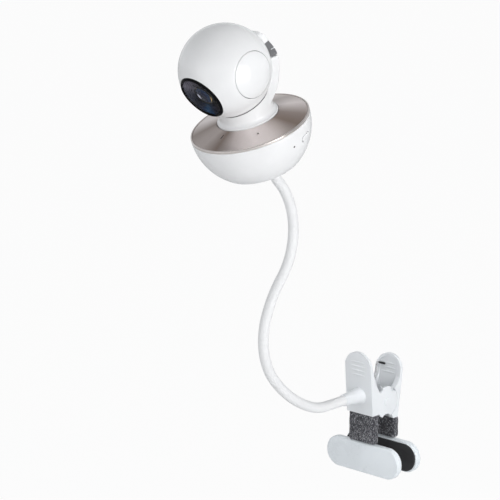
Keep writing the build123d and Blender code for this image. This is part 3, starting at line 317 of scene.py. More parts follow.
# ---- Shader building ------------------------------------------------------------------------------
class Tree:
    """Short hand for building a node tree."""

    def __init__(self, tree: NodeTree) -> None:
        """Keep the tree that nodes are added to."""
        self.tree = tree

    def feed(self, socket: Socket, value: object) -> None:
        """Link an input to a socket, or set its value."""
        if isinstance(value, Socket):
            self.tree.links.new(value, socket)
        else:
            socket.default_value = value

    def put(self, node: Node, **values: object) -> None:
        """Feed a node's inputs by their names, with _ for a space."""
        for key, value in values.items():
            self.feed(node.inputs[key.replace("_", " ")], value)

    def add(self, kind: str, **values: object) -> Node:
        """Add a node. Capitalised names are inputs, and the others are settings, which come first."""
        node = self.tree.nodes.new(kind)
        for key in (key for key in values if key[0].islower()):
            setattr(node, key, values[key])
        self.put(node, **{key: value for key, value in values.items() if key[0].isupper()})
        return node

    def group(self, shared: NodeTree, **values: object) -> bpy.types.bpy_prop_collection:
        """Place a shared group, feed it, and give its outputs."""
        return self.add("ShaderNodeGroup", node_tree=shared, **values).outputs

    def math(self, operation: str, *values: object) -> Socket:
        """Result of a math node on sockets or numbers."""
        node = self.add("ShaderNodeMath", operation=operation)
        for socket, value in zip(node.inputs, values):
            self.feed(socket, value)
        return node.outputs[0]

    def length(self, first: Socket, second: Socket) -> Socket:
        """Length of a flat vector with these two parts."""
        squares = [self.math("MULTIPLY", part, part) for part in (first, second)]
        return self.math("SQRT", self.math("ADD", *squares))

    def bearing(self, first: Socket, second: Socket) -> Socket:
        """Share of a whole turn, from 0 to 1, at which a flat vector with these two parts points."""
        return self.math("ADD", self.math("DIVIDE", self.math("ARCTAN2", second, first), 2 * pi), 0.5)

    def local(self, coords: Socket, origin: Space, turn: Space) -> Socket:
        """Coordinates about an origin, in turned axes."""
        node = self.add("ShaderNodeMapping", vector_type="TEXTURE", Vector=coords)
        self.put(node, Location=origin, Rotation=turn)
        return node.outputs["Vector"]

    def parts(self, vector: Socket) -> list[Socket]:
        """X, Y and Z of a vector."""
        return list(self.add("ShaderNodeSeparateXYZ", Vector=vector).outputs)

    def noise(self, vector: Socket, scale: object, detail: float, **values: float) -> Socket:
        """Value of a noise texture."""
        node = self.add("ShaderNodeTexNoise", Vector=vector, Scale=scale, Detail=detail, **values)
        return node.outputs["Fac"]

    def bump(self, strength: float, distance: float, height: Socket) -> Socket:
        """Normal of a bump node."""
        node = self.add("ShaderNodeBump", Strength=strength, Distance=distance, Height=height)
        return node.outputs["Normal"]

    def ramp(self, value: Socket, stops: Stops) -> Socket:
        """Colour of a ramp with the given (place, colour) stops."""
        node = self.add("ShaderNodeValToRGB", Fac=value)
        elements = node.color_ramp.elements
        for index, (place, colour) in enumerate(stops):
            element = elements[index] if index < 2 else elements.new(place)
            element.position = place
            element.color = (*colour, 1.0)
        return node.outputs["Color"]

    def tones(self, value: Socket, stops: tuple[Point, ...]) -> Socket:
        """Grey of a ramp with the given (place, tone) stops."""
        return self.ramp(value, tuple((place, (tone, tone, tone)) for place, tone in stops))

    def mix(self, share: object, first: object, second: object, blend: str = "MIX") -> Socket:
        """Mixed colour of two colours or sockets."""
        node = self.add("ShaderNodeMix", data_type="RGBA", blend_type=blend)
        for index, value in ((0, share), (6, first), (7, second)):
            self.feed(node.inputs[index], (*value, 1.0) if isinstance(value, tuple) else value)
        return node.outputs[2]


def make_group(name: str, inputs: dict[str, object], outputs: dict[str, str], kind: str = "Shader") -> tuple:
    """New node group with named sockets.

    Args:
        name: Name of the group.
        inputs: Kind of each input's socket by its name, or the kind and the default value.
        outputs: Kind of each output's socket by its name.
        kind: Shader or Geometry.

    Returns:
        The group, a Tree around it, its inputs' sockets and its output node.
    """
    group = bpy.data.node_groups.new(name, f"{kind}NodeTree")
    for label, given in inputs.items():
        sort, *default = given if isinstance(given, tuple) else (given,)
        socket = group.interface.new_socket(name=label, in_out="INPUT", socket_type=f"NodeSocket{sort}")
        if default:
            socket.default_value = default[0]
    for label, sort in outputs.items():
        group.interface.new_socket(name=label, in_out="OUTPUT", socket_type=f"NodeSocket{sort}")
    tree = Tree(group)
    return group, tree, tree.add("NodeGroupInput").outputs, tree.add("NodeGroupOutput")


@cache
def moulded_group() -> NodeTree:
    """Moulded plastic: faint handling marks in the roughness, tone drift, and a soft orange peel height."""
    group, tree, source, result = make_group(
        "moulded_surface", {
            "Vector": "Vector", "Roughness": ("Float", 0.2), "Marks": ("Float", 0.05),
            "Grain Scale": ("Float", 900.0),
        }, {"Roughness": "Float", "Tone": "Float", "Height": "Float"},
    )
    vector, marks = source["Vector"], source["Marks"]
    broad = tree.noise(vector, 45.0, 4.0, Roughness=0.6)
    fine = tree.noise(vector, source["Grain Scale"], 2.0)
    swirl = tree.noise(vector, 210.0, 8.0, Roughness=0.75, Distortion=1.4)
    swing, scuffs = (
        tree.math("MULTIPLY", tree.math("SUBTRACT", part, 0.5), marks) for part in (broad, swirl)
    )
    total = tree.math("ADD", source["Roughness"], tree.math("ADD", swing, scuffs))
    height = tree.math("ADD", tree.math("MULTIPLY", broad, 0.4), fine)
    tree.put(result, Roughness=tree.math("MAXIMUM", total, 0.03), Tone=broad, Height=height)
    return group


@cache
def brushed_group() -> NodeTree:
    """Metal turned about local Z: concentric hairlines and broad patches, as masks."""
    group, tree, source, result = make_group(
        "turned_hairlines", {"Vector": "Vector", "Line Scale": ("Float", 2500.0)},
        {"Lines": "Float", "Patches": "Float"},
    )
    x, y, _ = tree.parts(source["Vector"])
    turn = tree.math("MULTIPLY", tree.math("ARCTAN2", y, x), 0.004)
    ring = tree.add("ShaderNodeCombineXYZ", X=tree.length(x, y), Y=turn).outputs["Vector"]
    lines = tree.noise(ring, source["Line Scale"], 3.0, Roughness=0.7)
    tree.put(result, Lines=lines, Patches=tree.noise(source["Vector"], 60.0, 3.0))
    return group


@dataclass(frozen=True)
class Finish:
    """A finish that a piece is dressed in. Each kind builds its own nodes."""

    name: str
    slot: str

    def material(self) -> bpy.types.Material:
        """The finish's material, built once."""
        ready = bpy.data.materials.get(self.name)
        if ready:
            return ready
        made = bpy.data.materials.new(self.name)
        made.use_nodes = True
        tree = Tree(made.node_tree)
        shader = made.node_tree.nodes["Principled BSDF"]
        coords = tree.add("ShaderNodeTexCoord").outputs["Object"]
        self.build(tree, shader, coords)
        return made

    def build(self, tree: Tree, shader: Node, coords: Socket) -> None:
        """Connect the finish's nodes."""
        raise NotImplementedError


@dataclass(frozen=True)
class Moulded(Finish):
    """Moulded plastic or rubber."""

    colour: Space = (0.9, 0.9, 0.9)
    shade: Space = (0.86, 0.86, 0.86)
    roughness: float = 0.2
    marks: float = 0.06
    coat: float = 0.0
    grain: float = 900.0
    bump: float = 0.02
    index: float = 1.5

    def build(self, tree: Tree, shader: Node, coords: Socket) -> None:
        """Tone drift, roughness marks and peel from the shared group."""
        surface = tree.group(
            moulded_group(), Vector=coords, Roughness=self.roughness, Marks=self.marks,
            Grain_Scale=self.grain,
        )
        tree.put(
            shader, Base_Color=tree.ramp(surface["Tone"], ((0.3, self.shade), (0.7, self.colour))),
            Roughness=surface["Roughness"], Normal=tree.bump(self.bump, 0.0004, surface["Height"]),
            Coat_Weight=self.coat, Coat_Roughness=0.06, IOR=self.index,
        )


@dataclass(frozen=True)
class TurnedMetal(Finish):
    """Metal with concentric hairlines about a piece's own axis, and painted reflections: bright and dark fan
    shapes round it.
    """

    colour: Space = (0.6, 0.55, 0.5)
    shade: Space = (0.5, 0.45, 0.42)
    roughness: float = 0.3
    metallic: float = 1.0
    origin: Space = (0.0, 0.0, 0.0)
    turn: Space = (0.0, 0.0, 0.0)
    lines: float = 2500.0
    painted_reflection_fans: tuple[Point, ...] = ()
    painted_reflection_shade: Space = (0.30, 0.25, 0.215)

    def build(self, tree: Tree, shader: Node, coords: Socket) -> None:
        """Hairlines about the axis in colour, roughness and height, with the painted reflections by bearing
        over the colour.
        """
        place = tree.local(coords, self.origin, self.turn)
        surface = tree.group(brushed_group(), Vector=place, Line_Scale=self.lines)
        lines, patches = surface["Lines"], surface["Patches"]
        share = tree.math("ADD", tree.math("MULTIPLY", lines, 0.6), tree.math("MULTIPLY", patches, 0.4))
        colour = tree.ramp(share, ((0.35, self.shade), (0.65, self.colour)))
        # Painted reflections: bright and dark fan shapes by bearing; the dark ones multiply the colour by a
        # painted shade.
        if self.painted_reflection_fans:
            x, y, _ = tree.parts(place)
            deep = tree.mix(1.0, colour, self.painted_reflection_shade, "MULTIPLY")
            colour = tree.mix(tree.tones(tree.bearing(x, y), self.painted_reflection_fans), deep, colour)
        rough = tree.math("ADD", tree.math("MULTIPLY", lines, 0.16), self.roughness - 0.08)
        normal = tree.bump(0.04, 0.0002, lines)
        tree.put(shader, Base_Color=colour, Roughness=rough, Normal=normal, Metallic=self.metallic)


@dataclass(frozen=True)
class Glass(Finish):
    """Clear or tinted glass with faint marks."""

    colour: Space = (1.0, 1.0, 1.0)
    roughness: float = 0.03
    index: float = 1.45

    def build(self, tree: Tree, shader: Node, coords: Socket) -> None:
        """Tint and faint roughness marks."""
        surface = tree.group(moulded_group(), Vector=coords, Roughness=self.roughness, Marks=0.03)
        deep = tuple(0.92 * part for part in self.colour)
        tree.put(
            shader, Base_Color=tree.ramp(surface["Tone"], ((0.3, deep), (0.7, self.colour))),
            Roughness=surface["Roughness"], IOR=self.index, Transmission_Weight=1.0,
        )


@dataclass(frozen=True)
class CoatedLens(Finish):
    """Dark lens glass whose anti-reflection coating changes colour from its centre to its edge, with a
    painted highlight to one side.
    """

    centre: Space = (0.0, 0.0, 0.0)
    turn: Space = (0.0, 0.0, 0.0)
    reach: float = 0.0078
    painted_highlight_at: Point = (-0.0040, -0.0002)
    painted_highlight_reach: float = 0.0031
    painted_highlight_tone: Space = (0.85, 0.84, 0.92)
    rings: Stops = (
        (0.0, (0.010, 0.010, 0.016)), (0.3, (0.008, 0.010, 0.022)), (0.6, (0.010, 0.014, 0.035)),
        (0.85, (0.012, 0.03, 0.07)), (1.0, (0.004, 0.005, 0.01)),
    )

    def build(self, tree: Tree, shader: Node, coords: Socket) -> None:
        """Rings of coating colour about the optical axis, and a painted highlight to one side of it."""
        x, _, z = tree.parts(tree.local(coords, self.centre, self.turn))
        colour = tree.ramp(tree.math("DIVIDE", tree.length(x, z), self.reach), self.rings)
        # Painted highlight: a bright patch laid over the coating colour.
        off = tree.length(*(tree.math("SUBTRACT", part, at) for part, at in zip((x, z), self.painted_highlight_at)))
        painted_highlight_share = tree.tones(tree.math("DIVIDE", off, self.painted_highlight_reach), ((0.4, 1.0), (1.0, 0.0)))
        rough = tree.math("ADD", tree.math("MULTIPLY", tree.noise(coords, 300.0, 2.0), 0.03), 0.02)
        tree.put(
            shader, Base_Color=tree.mix(painted_highlight_share, colour, self.painted_highlight_tone), Roughness=rough, Coat_Weight=0.1,
            Coat_Roughness=0.02, IOR=1.12,
        )


@dataclass(frozen=True)
class LensHood(Finish):
    """Dark coated hood with painted reflections that change colour round the optical axis, painted shade
    towards it, and painted rings of light and shade.
    """

    centre: Space = (0.0, 0.0, 0.0)
    turn: Space = (0.0, 0.0, 0.0)
    reach: float = 0.0182
    pitch: float = 0.0013
    painted_sheen: Stops = ()
    painted_axis_shade: tuple[Point, ...] = ((0.0, 0.1), (0.42, 0.25), (0.7, 0.7), (1.0, 1.0))

    def build(self, tree: Tree, shader: Node, coords: Socket) -> None:
        """Painted reflection colour by the bearing about the axis, times painted shade and painted rings by
        the distance from it.
        """
        x, _, z = tree.parts(tree.local(coords, self.centre, self.turn))
        radius = tree.length(x, z)
        painted_axis_shade = tree.tones(tree.math("DIVIDE", radius, self.reach), self.painted_axis_shade)
        colour = tree.mix(1.0, tree.ramp(tree.bearing(x, z), self.painted_sheen), painted_axis_shade, "MULTIPLY")
        # Painted rings of light and shade stand in for the light and shade of the hood's steps.
        wave = tree.math("SINE", tree.math("MULTIPLY", radius, pi / self.pitch))
        ring = tree.tones(tree.math("MULTIPLY", wave, wave), ((0.2, 0.45), (0.9, 1.0)))
        rough = tree.math("ADD", tree.math("MULTIPLY", tree.noise(coords, 900.0, 2.0), 0.1), 0.3)
        tree.put(shader, Base_Color=tree.mix(1.0, colour, ring, "MULTIPLY"), Roughness=rough, IOR=1.04)


@dataclass(frozen=True)
class Circuit(Finish):
    """Circuit board with solder mask and tracks."""

    colour: Space = (0.02, 0.16, 0.07)

    def build(self, tree: Tree, shader: Node, coords: Socket) -> None:
        """Brick pattern tracks over the mask colour."""
        track = tree.add("ShaderNodeTexBrick", Vector=coords, Scale=260.0).outputs["Fac"]
        light = tuple(min(1.0, 2.2 * part) for part in self.colour)
        colour, normal = tree.mix(track, self.colour, light), tree.bump(0.2, 0.0001, track)
        tree.put(shader, Base_Color=colour, Normal=normal, Roughness=0.35)


@dataclass(frozen=True)
class Yarn(Finish):
    """Heather knit: yarn whose stitches vary from black to white, with painted shade in the hollows, and fine
    fibres.
    """

    dark: Space = (0.035, 0.035, 0.042)
    light: Space = (0.42, 0.42, 0.45)

    def build(self, tree: Tree, shader: Node, coords: Socket) -> None:
        """Colour by stitch from the yarn attribute, which holds painted shade in the hollows too, broken up
        by fibre noise.
        """
        tone = tree.add("ShaderNodeAttribute", attribute_name="yarn").outputs["Fac"]
        fibre = tree.noise(coords, 2600.0, 4.0, Roughness=0.7)
        share = tree.math("ADD", tone, tree.math("MULTIPLY", tree.math("SUBTRACT", fibre, 0.5), 0.7))
        middle = tuple((a + b) * 0.35 for a, b in zip(self.dark, self.light))
        tree.put(
            shader, Base_Color=tree.ramp(share, ((0.25, self.dark), (0.55, middle), (0.85, self.light))),
            Normal=tree.bump(0.5, 0.0003, fibre), Roughness=0.9, Sheen_Weight=0.3, Sheen_Roughness=0.5,
        )


PAN_ORIGIN: Space = tuple(PAN["pos_m"])
PAN_TURN: Space = tuple(HEAD_SPACE.to_euler())
BALL_AT: Space = tuple(TILT["pos_m"])
BALL_TURN: Space = tuple(BALL_SPACE.to_euler())
GLOSS_WHITE = Moulded(
    "gloss_white_shell", "white_gloss", (0.86, 0.86, 0.865), (0.83, 0.83, 0.835), 0.17, 0.05, 0.25,
    bump=0.015,
)
SATIN_WHITE = Moulded(
    "satin_white_clip", "white_satin", (0.79, 0.81, 0.83), (0.76, 0.78, 0.80), 0.32, 0.1, bump=0.06,
)
PAD_WHITE = Moulded(
    "satin_white_pad", "white_gloss", (0.80, 0.84, 0.87), (0.77, 0.81, 0.84), 0.28, 0.08, bump=0.04,
)
PEARL = TurnedMetal(
    "pearl_rim", "pearl", (0.86, 0.80, 0.77), (0.72, 0.66, 0.63), 0.18, 1.0, PAN_ORIGIN, PAN_TURN, 700.0,
)
NECK_WHITE = Moulded(
    "neck_elastomer", "neck_skin", (0.84, 0.84, 0.845), (0.81, 0.81, 0.815), 0.42, 0.12, bump=0.02,
)
FERRULE_GREY = Moulded(
    "ferrule_grey", "light_grey", (0.52, 0.52, 0.53), (0.48, 0.48, 0.49), 0.35, 0.1, bump=0.05,
)
# The plate carries painted reflections: bright and dark fan shapes by bearing about the pan axis.
CHAMPAGNE = TurnedMetal(
    "champagne_plate", "champagne", (0.84, 0.765, 0.75), (0.76, 0.69, 0.67), 0.32, 0.45, PAN_ORIGIN, PAN_TURN,
    painted_reflection_fans=(
        (0.0, 0.9), (0.04, 1.0), (0.12, 0.1), (0.17, 0.4), (0.21, 0.5), (0.264, 0.05), (0.31, 0.75),
        (0.375, 1.0), (0.44, 0.75), (0.52, 0.0), (0.58, 0.15), (0.66, 1.0), (0.73, 0.4), (0.82, 0.9),
        (0.92, 0.7), (1.0, 0.9),
    ),
)
GLOSS_BLACK = Moulded(
    "gloss_black_bezel", "black_gloss", (0.006, 0.006, 0.007), (0.004, 0.004, 0.005), 0.16, 0.04, index=1.09,
)
# The hood's colours by bearing are painted reflections.
HOOD_PAINTED_SHEEN = LensHood(
    "lens_hood_painted_sheen", "black_plastic", BALL_AT, BALL_TURN, painted_sheen=(
        (0.0, (0.07, 0.075, 0.11)), (0.1, (0.006, 0.009, 0.025)), (0.17, (0.008, 0.02, 0.065)),
        (0.22, (0.03, 0.10, 0.20)), (0.29, (0.008, 0.02, 0.05)), (0.36, (0.008, 0.006, 0.012)),
        (0.44, (0.006, 0.005, 0.007)), (0.55, (0.045, 0.038, 0.036)), (0.68, (0.04, 0.035, 0.045)),
        (0.76, (0.17, 0.155, 0.18)), (0.9, (0.30, 0.28, 0.325)), (1.0, (0.07, 0.075, 0.11)),
    ),
)
# The gold ring carries a painted reflection: one bright arc, with the rest of the ring painted near black.
GOLD_RING = TurnedMetal(
    "gold_ring", "brass", (0.85, 0.62, 0.28), (0.7, 0.5, 0.2), 0.18, 1.0, BALL_AT,
    tuple((BALL_SPACE @ TO_LENS).to_euler()), 900.0, painted_reflection_shade=(0.02, 0.02, 0.03),
    painted_reflection_fans=((0.0, 0.0), (0.38, 0.0), (0.43, 0.8), (0.47, 0.8), (0.52, 0.0), (1.0, 0.0)),
)
DARK_WINDOW = Glass("dark_window_glass", "dark_window", (0.90, 0.91, 0.95), 0.02, 1.06)
# The front lens carries a painted highlight.
LENS_COAT = CoatedLens("coated_front_lens", "lens_glass", BALL_AT, BALL_TURN)
MATTE_BLACK = Moulded(
    "matte_black_moulding", "black_plastic", (0.02, 0.02, 0.022), (0.014, 0.014, 0.016), 0.5, 0.1,
)
SMOKED_LAMP = Moulded("smoked_lamp", "clear_lamp", (0.06, 0.06, 0.065), (0.04, 0.04, 0.045), 0.12, 0.05)
IR_DARK = Moulded(
    "infrared_lamp_epoxy", "clear_lamp", (0.014, 0.012, 0.015), (0.010, 0.009, 0.011), 0.5, 0.05, index=1.1,
)
BOARD_GREEN = Circuit("board_green", "circuit_green")
KNUCKLE_GREY = Moulded(
    "knuckle_grey", "grey_plastic", (0.20, 0.20, 0.205), (0.15, 0.15, 0.155), 0.45, 0.1, bump=0.08,
)
ACETAL = Moulded("natural_acetal", "acetal", (0.80, 0.79, 0.75), (0.76, 0.75, 0.71), 0.4, 0.1, bump=0.05)
MOTOR_STEEL = TurnedMetal("motor_can_steel", "motor_steel", (0.5, 0.5, 0.5), (0.42, 0.42, 0.42), 0.3)
STEEL = TurnedMetal("ground_steel", "steel", (0.6, 0.6, 0.61), (0.5, 0.5, 0.51), 0.25, lines=1800.0)
CHROME = TurnedMetal(
    "bright_spring_wire", "chrome", (0.62, 0.62, 0.63), (0.50, 0.50, 0.51), 0.16, lines=900.0,
)
BRASS = TurnedMetal("turned_brass", "brass", (0.70, 0.52, 0.24), (0.60, 0.44, 0.2), 0.25)
RUBBER = Moulded(
    "grip_rubber", "rubber", (0.035, 0.035, 0.037), (0.028, 0.028, 0.03), 0.7, 0.12, grain=1600.0, bump=0.25,
)
KNIT = Yarn("heather_knit", "knit")


def dress(
    piece: Object, finish: Finish, body: Body | str | None = None, *nodes: str, angle: float = 35.0,
) -> Object:
    """Give a piece its finish, its body and the CAD nodes that it stands for.

    Args:
        piece: The finished mesh.
        finish: Its finish.
        body: The body it rides on, or None to attach it to none.
        nodes: CAD nodes that it replaces.
        angle: Edges sharper than this stay sharp. At 0 the shading is left alone.

    Returns:
        The same piece.
    """
    if angle:
        smooth(piece, angle)
    piece.data.materials.clear()
    piece.data.materials.append(finish.material())
    if body is not None:
        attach(piece, body.value if isinstance(body, Body) else body)
    if nodes:
        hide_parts(*nodes)
    LOG.info("%s: %d faces, %s", piece.name, len(piece.data.polygons), finish.name)
    return piece


def dress_nodes(finishes: dict[Finish, tuple[str, ...]]) -> None:
    """Give the CAD nodes that stay visible their materials."""
    for finish, names in finishes.items():
        for name in names:
            materials = frame["nodes"][name].data.materials
            materials.clear()
            materials.append(finish.material())


# ---- Knit -----------------------------------------------------------------------------------------
@dataclass(frozen=True)
class Knit:
    """Plain knit: columns of V stitches whose yarn stands up from the cloth."""

    wale: float = 1.3
    course: float = 1.0
    relief: float = 0.34
    step: float = 0.26
    tone_rows: int = 80

    def tube(self, outline: list[Point], low: float, high: float, seed: int) -> tuple:
        """Closed tube of stitches.

        Args:
            outline: Closed outline that the tube follows, in millimetres.
            low: Height of its lower edge.
            high: Height of its upper edge.
            seed: Seed of the yarn tones.

        Returns:
            Points, faces, a yarn tone for each point with painted shade where the yarn lies low, and the
            length round the outline.
        """
        corners = np.array(outline + outline[:1])
        lengths = np.hypot(*np.diff(corners, axis=0).T)
        around = float(lengths.sum())
        stops = np.concatenate(([0.0], np.cumsum(lengths)))
        count, rows = int(around / self.step), int((high - low) / self.step)
        along = np.arange(count) * around / count
        x, y = (np.interp(along, stops, corners[:, axis]) for axis in (0, 1))
        nx, ny = np.gradient(np.interp(along, stops, corners[:, 1])), -np.gradient(x)
        size = np.hypot(nx, ny)
        nx, ny = nx / size, ny / size
        wales = round(around / self.wale)
        random = np.random.default_rng(seed)
        pick = random.random((wales, self.tone_rows, 2))
        table = np.where(pick < 0.5, 0.12 + 0.3 * pick, np.where(pick < 0.78, 0.5, 0.5 + 0.42 * pick))
        phase = random.uniform(0, 2 * pi, 3)
        points, tones = [], []
        column = along / around * wales
        place = column % 1 - 0.5
        for row in range(rows + 1):
            z = low + (high - low) * row / rows
            rise = (z - low) / self.course + np.abs(place) * 1.1
            cross = rise % 1 - 0.5
            thread = np.sqrt(np.clip(1 - (2.0 * cross) ** 2, 0, 1))
            yarn = thread * (0.45 + 0.55 * np.sin(2 * pi * np.abs(place)))
            drape = 0.10 * np.sin(0.55 * z + phase[0] + 0.2 * along)
            drape += 0.07 * np.sin(0.31 * along - 0.7 * z + phase[1])
            hem = 0.5 * abs(2 * row / rows - 1) ** 10
            lift = self.relief * yarn + drape - hem
            points += list(zip((x + nx * lift).tolist(), (y + ny * lift).tolist(), [z] * count))
            index = np.clip(rise.astype(int), 0, self.tone_rows - 1)
            leg = (place > 0).astype(int)
            # Each stitch's random tone is painted darker where the yarn lies low: painted shade in the
            # hollows.
            tones += (table[column.astype(int) % wales, index, leg] * (0.45 + 0.55 * yarn)).tolist()
        faces = []
        for row in range(rows):
            for k in range(count):
                a, b = row * count + k, row * count + (k + 1) % count
                faces.append((a, b, b + count, a + count))
        return points, faces, tones, around


# ---- Repeats --------------------------------------------------------------------------------------
def row_tree() -> NodeTree:
    """Geometry Nodes tree: a row of soft ridges, with its count, start, offset and ridge size as inputs."""
    sockets = {"Count": "Int", "Start": "Vector", "Offset": "Vector", "Size": "Vector", "Finish": "Material"}
    tree, make, source, result = make_group("ridge_row", sockets, {"Geometry": "Geometry"}, "Geometry")
    line = make.add(
        "GeometryNodeMeshLine", mode="OFFSET", Count=source["Count"], Start_Location=source["Start"],
        Offset=source["Offset"],
    )
    bead = make.add("GeometryNodeMeshUVSphere", Segments=40, Rings=16, Radius=1.0)
    ridges = make.add(
        "GeometryNodeInstanceOnPoints", Points=line.outputs[0], Instance=bead.outputs[0],
        Scale=source["Size"],
    )
    real = make.add("GeometryNodeRealizeInstances", Geometry=ridges.outputs[0])
    done = make.add("GeometryNodeSetMaterial", Geometry=real.outputs[0], Material=source["Finish"])
    make.put(result, Geometry=done.outputs[0])
    return tree


def grown(
    name: str, tree: NodeTree, values: dict[str, object], place: Matrix | None = None,
    mesh: bpy.types.Mesh | None = None,
) -> Object:
    """Bake a Geometry Nodes tree into a plain piece.

    Args:
        name: Name of the piece.
        tree: The tree.
        values: Value of each named input.
        place: Matrix from the tree's units to row metres, or None if they are row metres.
        mesh: Mesh that the tree starts from, or None for an empty one.

    Returns:
        The baked piece.
    """
    piece = new_object(name, mesh or bpy.data.meshes.new(name))
    change = piece.modifiers.new(name, "NODES")
    change.node_group = tree
    for item in tree.interface.items_tree:
        if item.in_out == "INPUT" and item.name in values:
            change[item.identifier] = values[item.name]
    bake(piece)
    if place:
        piece.data.transform(place)
        if place.determinant() < 0:
            piece.data.flip_normals()
    return piece


# ---- Ball -----------------------------------------------------------------------------------------
@dataclass
class CameraBall:
    """The ball with its lens and side caps, about the tilt axle: +X along the axle, -Y along the view."""

    radius: float = 37.7
    wall: float = 2.4
    cap_radius: float = 18.5
    cap_groove: float = 0.4
    lens_radius: float = 20.4
    lens_gap: float = 0.3
    ring: float = 1.9
    slot_width: float = 9.0
    slot_from: float = -88.0
    slot_to: float = -16.0
    seam: float = 24.0
    edge: float = 0.3
    hood_steps: int = 6
    hood_pitch: float = 1.3
    hood_fall: float = 0.3
    eye_radius: float = 7.8
    eye_dome: float = 14.0
    hood_outer: float = 18.2
    hood_first: float = 17.5
    window_rise: float = 1.7
    groove: float = 0.35
    groove_turn: float = 0.25

    def __post_init__(self) -> None:
        """Work out where the lens opening meets the ball."""
        self.front = sqrt(self.radius**2 - self.lens_radius**2)

    def axle_side(self, side: int) -> Matrix:
        """Place with local Z out along the tilt axle, on the left (-1) or right (1)."""
        return BALL_SPACE @ Matrix.Scale(side, 4, (1, 0, 0)) @ ABOUT_X

    def opening_cutter(self, side: int) -> Object:
        """Cutter for an axle opening, flared at the surface so that the opening's edge is rounded."""
        r = self.cap_radius + self.cap_groove
        surface = sqrt(self.radius**2 - r**2)
        deep, flare, past = surface - 9, r + self.edge * 1.4, self.radius + 2
        profile = [(0, deep), (r, deep), (r, surface - self.edge)]
        profile += [(r + self.edge * 0.3, surface - self.edge * 0.3), (flare, surface + 0.6)]
        profile += [(flare, past), (0, past)]
        return lathe("opening_cutter", profile, self.axle_side(side), 256)

    def shell(self) -> Object:
        """Outer shell, turned about the view axis, with its lens opening, axle openings, slot and seam."""
        inner = self.radius - self.wall
        mouth = self.lens_radius + self.lens_gap
        lip = degrees(asin((mouth + self.edge) / self.radius))
        inside = degrees(asin(mouth / inner))
        seam_angle = 90 + degrees(asin(self.seam / self.radius))
        profile = arc((0, 0), self.radius, 90 - lip, 90 - seam_angle + self.groove_turn, 90)
        notch = self.radius - self.groove
        for turn in (radians(90 - seam_angle + t) for t in (0.15, -0.15)):
            profile.append((notch * cos(turn), notch * sin(turn)))
        profile += arc((0, 0), self.radius, 90 - seam_angle - self.groove_turn, -90, 48)
        profile += arc((0, 0), inner, -90, 90 - inside, 90)
        front = sqrt(self.radius**2 - (mouth + self.edge) ** 2)
        profile += [(mouth, front - self.edge * 1.2), (mouth + self.edge * 0.3, front - self.edge * 0.35)]
        profile[0] = (mouth + self.edge, front)
        piece = lathe("camera_ball_shell", profile, BALL_SPACE @ TO_LENS, 288, closed=True)
        for side in (-1, 1):
            carve(piece, self.opening_cutter(side))
        far = 2 * self.radius
        fan = [(0.0, 0.0)] + arc((0, 0), far, self.slot_from, self.slot_to, 6)
        half = self.slot_width / 2
        carve(piece, prism("slot_cutter", fan, -half, half, BALL_SPACE @ ABOUT_X))
        dress(piece, GLOSS_WHITE, Body.BALL, "ball_shell", "ball_rear_cover", angle=30)
        round_normals(piece, Vector(TILT["pos_m"]), self.radius)
        return piece

    def cap(self, side: int, node: str) -> Object:
        """Flush round cap over an axle opening."""
        r = self.cap_radius
        edge_angle = degrees(asin((r - self.edge) / self.radius))
        profile = arc((0, 0), self.radius, 90, 90 - edge_angle, 40)
        low = sqrt(self.radius**2 - r**2)
        profile += [(r - self.edge * 0.3, low - self.edge * 0.2), (r, low - self.edge)]
        profile += [(r, low - 5), (0, low - 5)]
        piece = lathe(node.replace("side_cap", "axle_cap"), profile, self.axle_side(side), 192)
        dress(piece, GLOSS_WHITE, Body.BALL, node, angle=30)
        round_normals(piece, Vector(TILT["pos_m"]), self.radius)
        return piece

    def lens(self) -> None:
        """Black ring, stepped hood, gold ring, coated front lens and dark window."""
        place, r, front = BALL_SPACE @ TO_LENS, self.lens_radius, self.front
        inner, eye, outer = r - self.ring, self.eye_radius, self.hood_outer
        ring = rounded([
            (r, front - 6), (r, front + 0.05), (r - 0.7, front + 1.0), (inner + 0.3, front + 1.1),
            (inner, front + 0.7), (inner, front - 2.0), (inner - 1.5, front - 2.0), (inner - 1.5, front - 6),
        ], [0, 0.3, 0.5, 0.25, 0.2, 0, 0, 0])
        bezel = lathe("lens_ring", ring, place, 256, closed=True)
        dress(bezel, GLOSS_BLACK, Body.BALL, "lens_bezel", angle=40)
        window_r, rise = inner - 0.05, self.window_rise
        sphere = (window_r**2 + rise**2) / (2 * rise)
        half = degrees(asin(window_r / sphere))
        window = arc((0, front + 0.6 + rise - sphere), sphere, 90, 90 - half, 40)
        window += [(window_r, front - 0.4), (0, front - 0.4)]
        dress(lathe("lens_window_glass", window, place, 256), DARK_WINDOW, Body.BALL, "lens_window", angle=40)
        steps = [(outer, front - 0.8)]
        for index in range(self.hood_steps):
            near, deep = self.hood_first - index * self.hood_pitch, front - 0.9 - index * self.hood_fall
            steps += [(near, deep - 0.45), (near - 0.45, deep), (near - 0.8, deep - 0.1)]
        steps += [(eye + 0.9, front - 2.9), (eye + 0.9, front - 7.0), (outer, front - 7.0)]
        dress(lathe("lens_hood_rings", steps, place, 256, closed=True), HOOD_PAINTED_SHEEN, Body.BALL, angle=25)
        far, near, low = eye + 0.85, eye + 0.15, front - 3.6
        band = rounded([(far, low), (far, front - 2.5), (near, front - 2.2), (near, low)], 0.15)
        dress(lathe("lens_gold_ring", band, place, 192, closed=True), GOLD_RING, Body.BALL, angle=40)
        dome = self.eye_dome
        glass = arc((0, front - 0.9 - dome), dome, 90, 90 - degrees(asin(eye / dome)), 32)
        glass += [(eye, front - 8.0), (0, front - 8.0)]
        dress(lathe("front_lens", glass, place, 192), LENS_COAT, Body.BALL, "lens_glass", angle=40)

    def build(self) -> None:
        """Make all of the ball."""
        self.shell()
        self.cap(-1, "side_cap_left")
        self.cap(1, "side_cap_right")
        self.lens()
        dress_nodes({
            MATTE_BLACK: ("lens_barrel",), BOARD_GREEN: ("ir_board", "image_board"), IR_DARK: ("ir_lights",),
            KNUCKLE_GREY: ("ball_chassis",), MOTOR_STEEL: ("tilt_motor",), ACETAL: ("tilt_pinion",),
        })


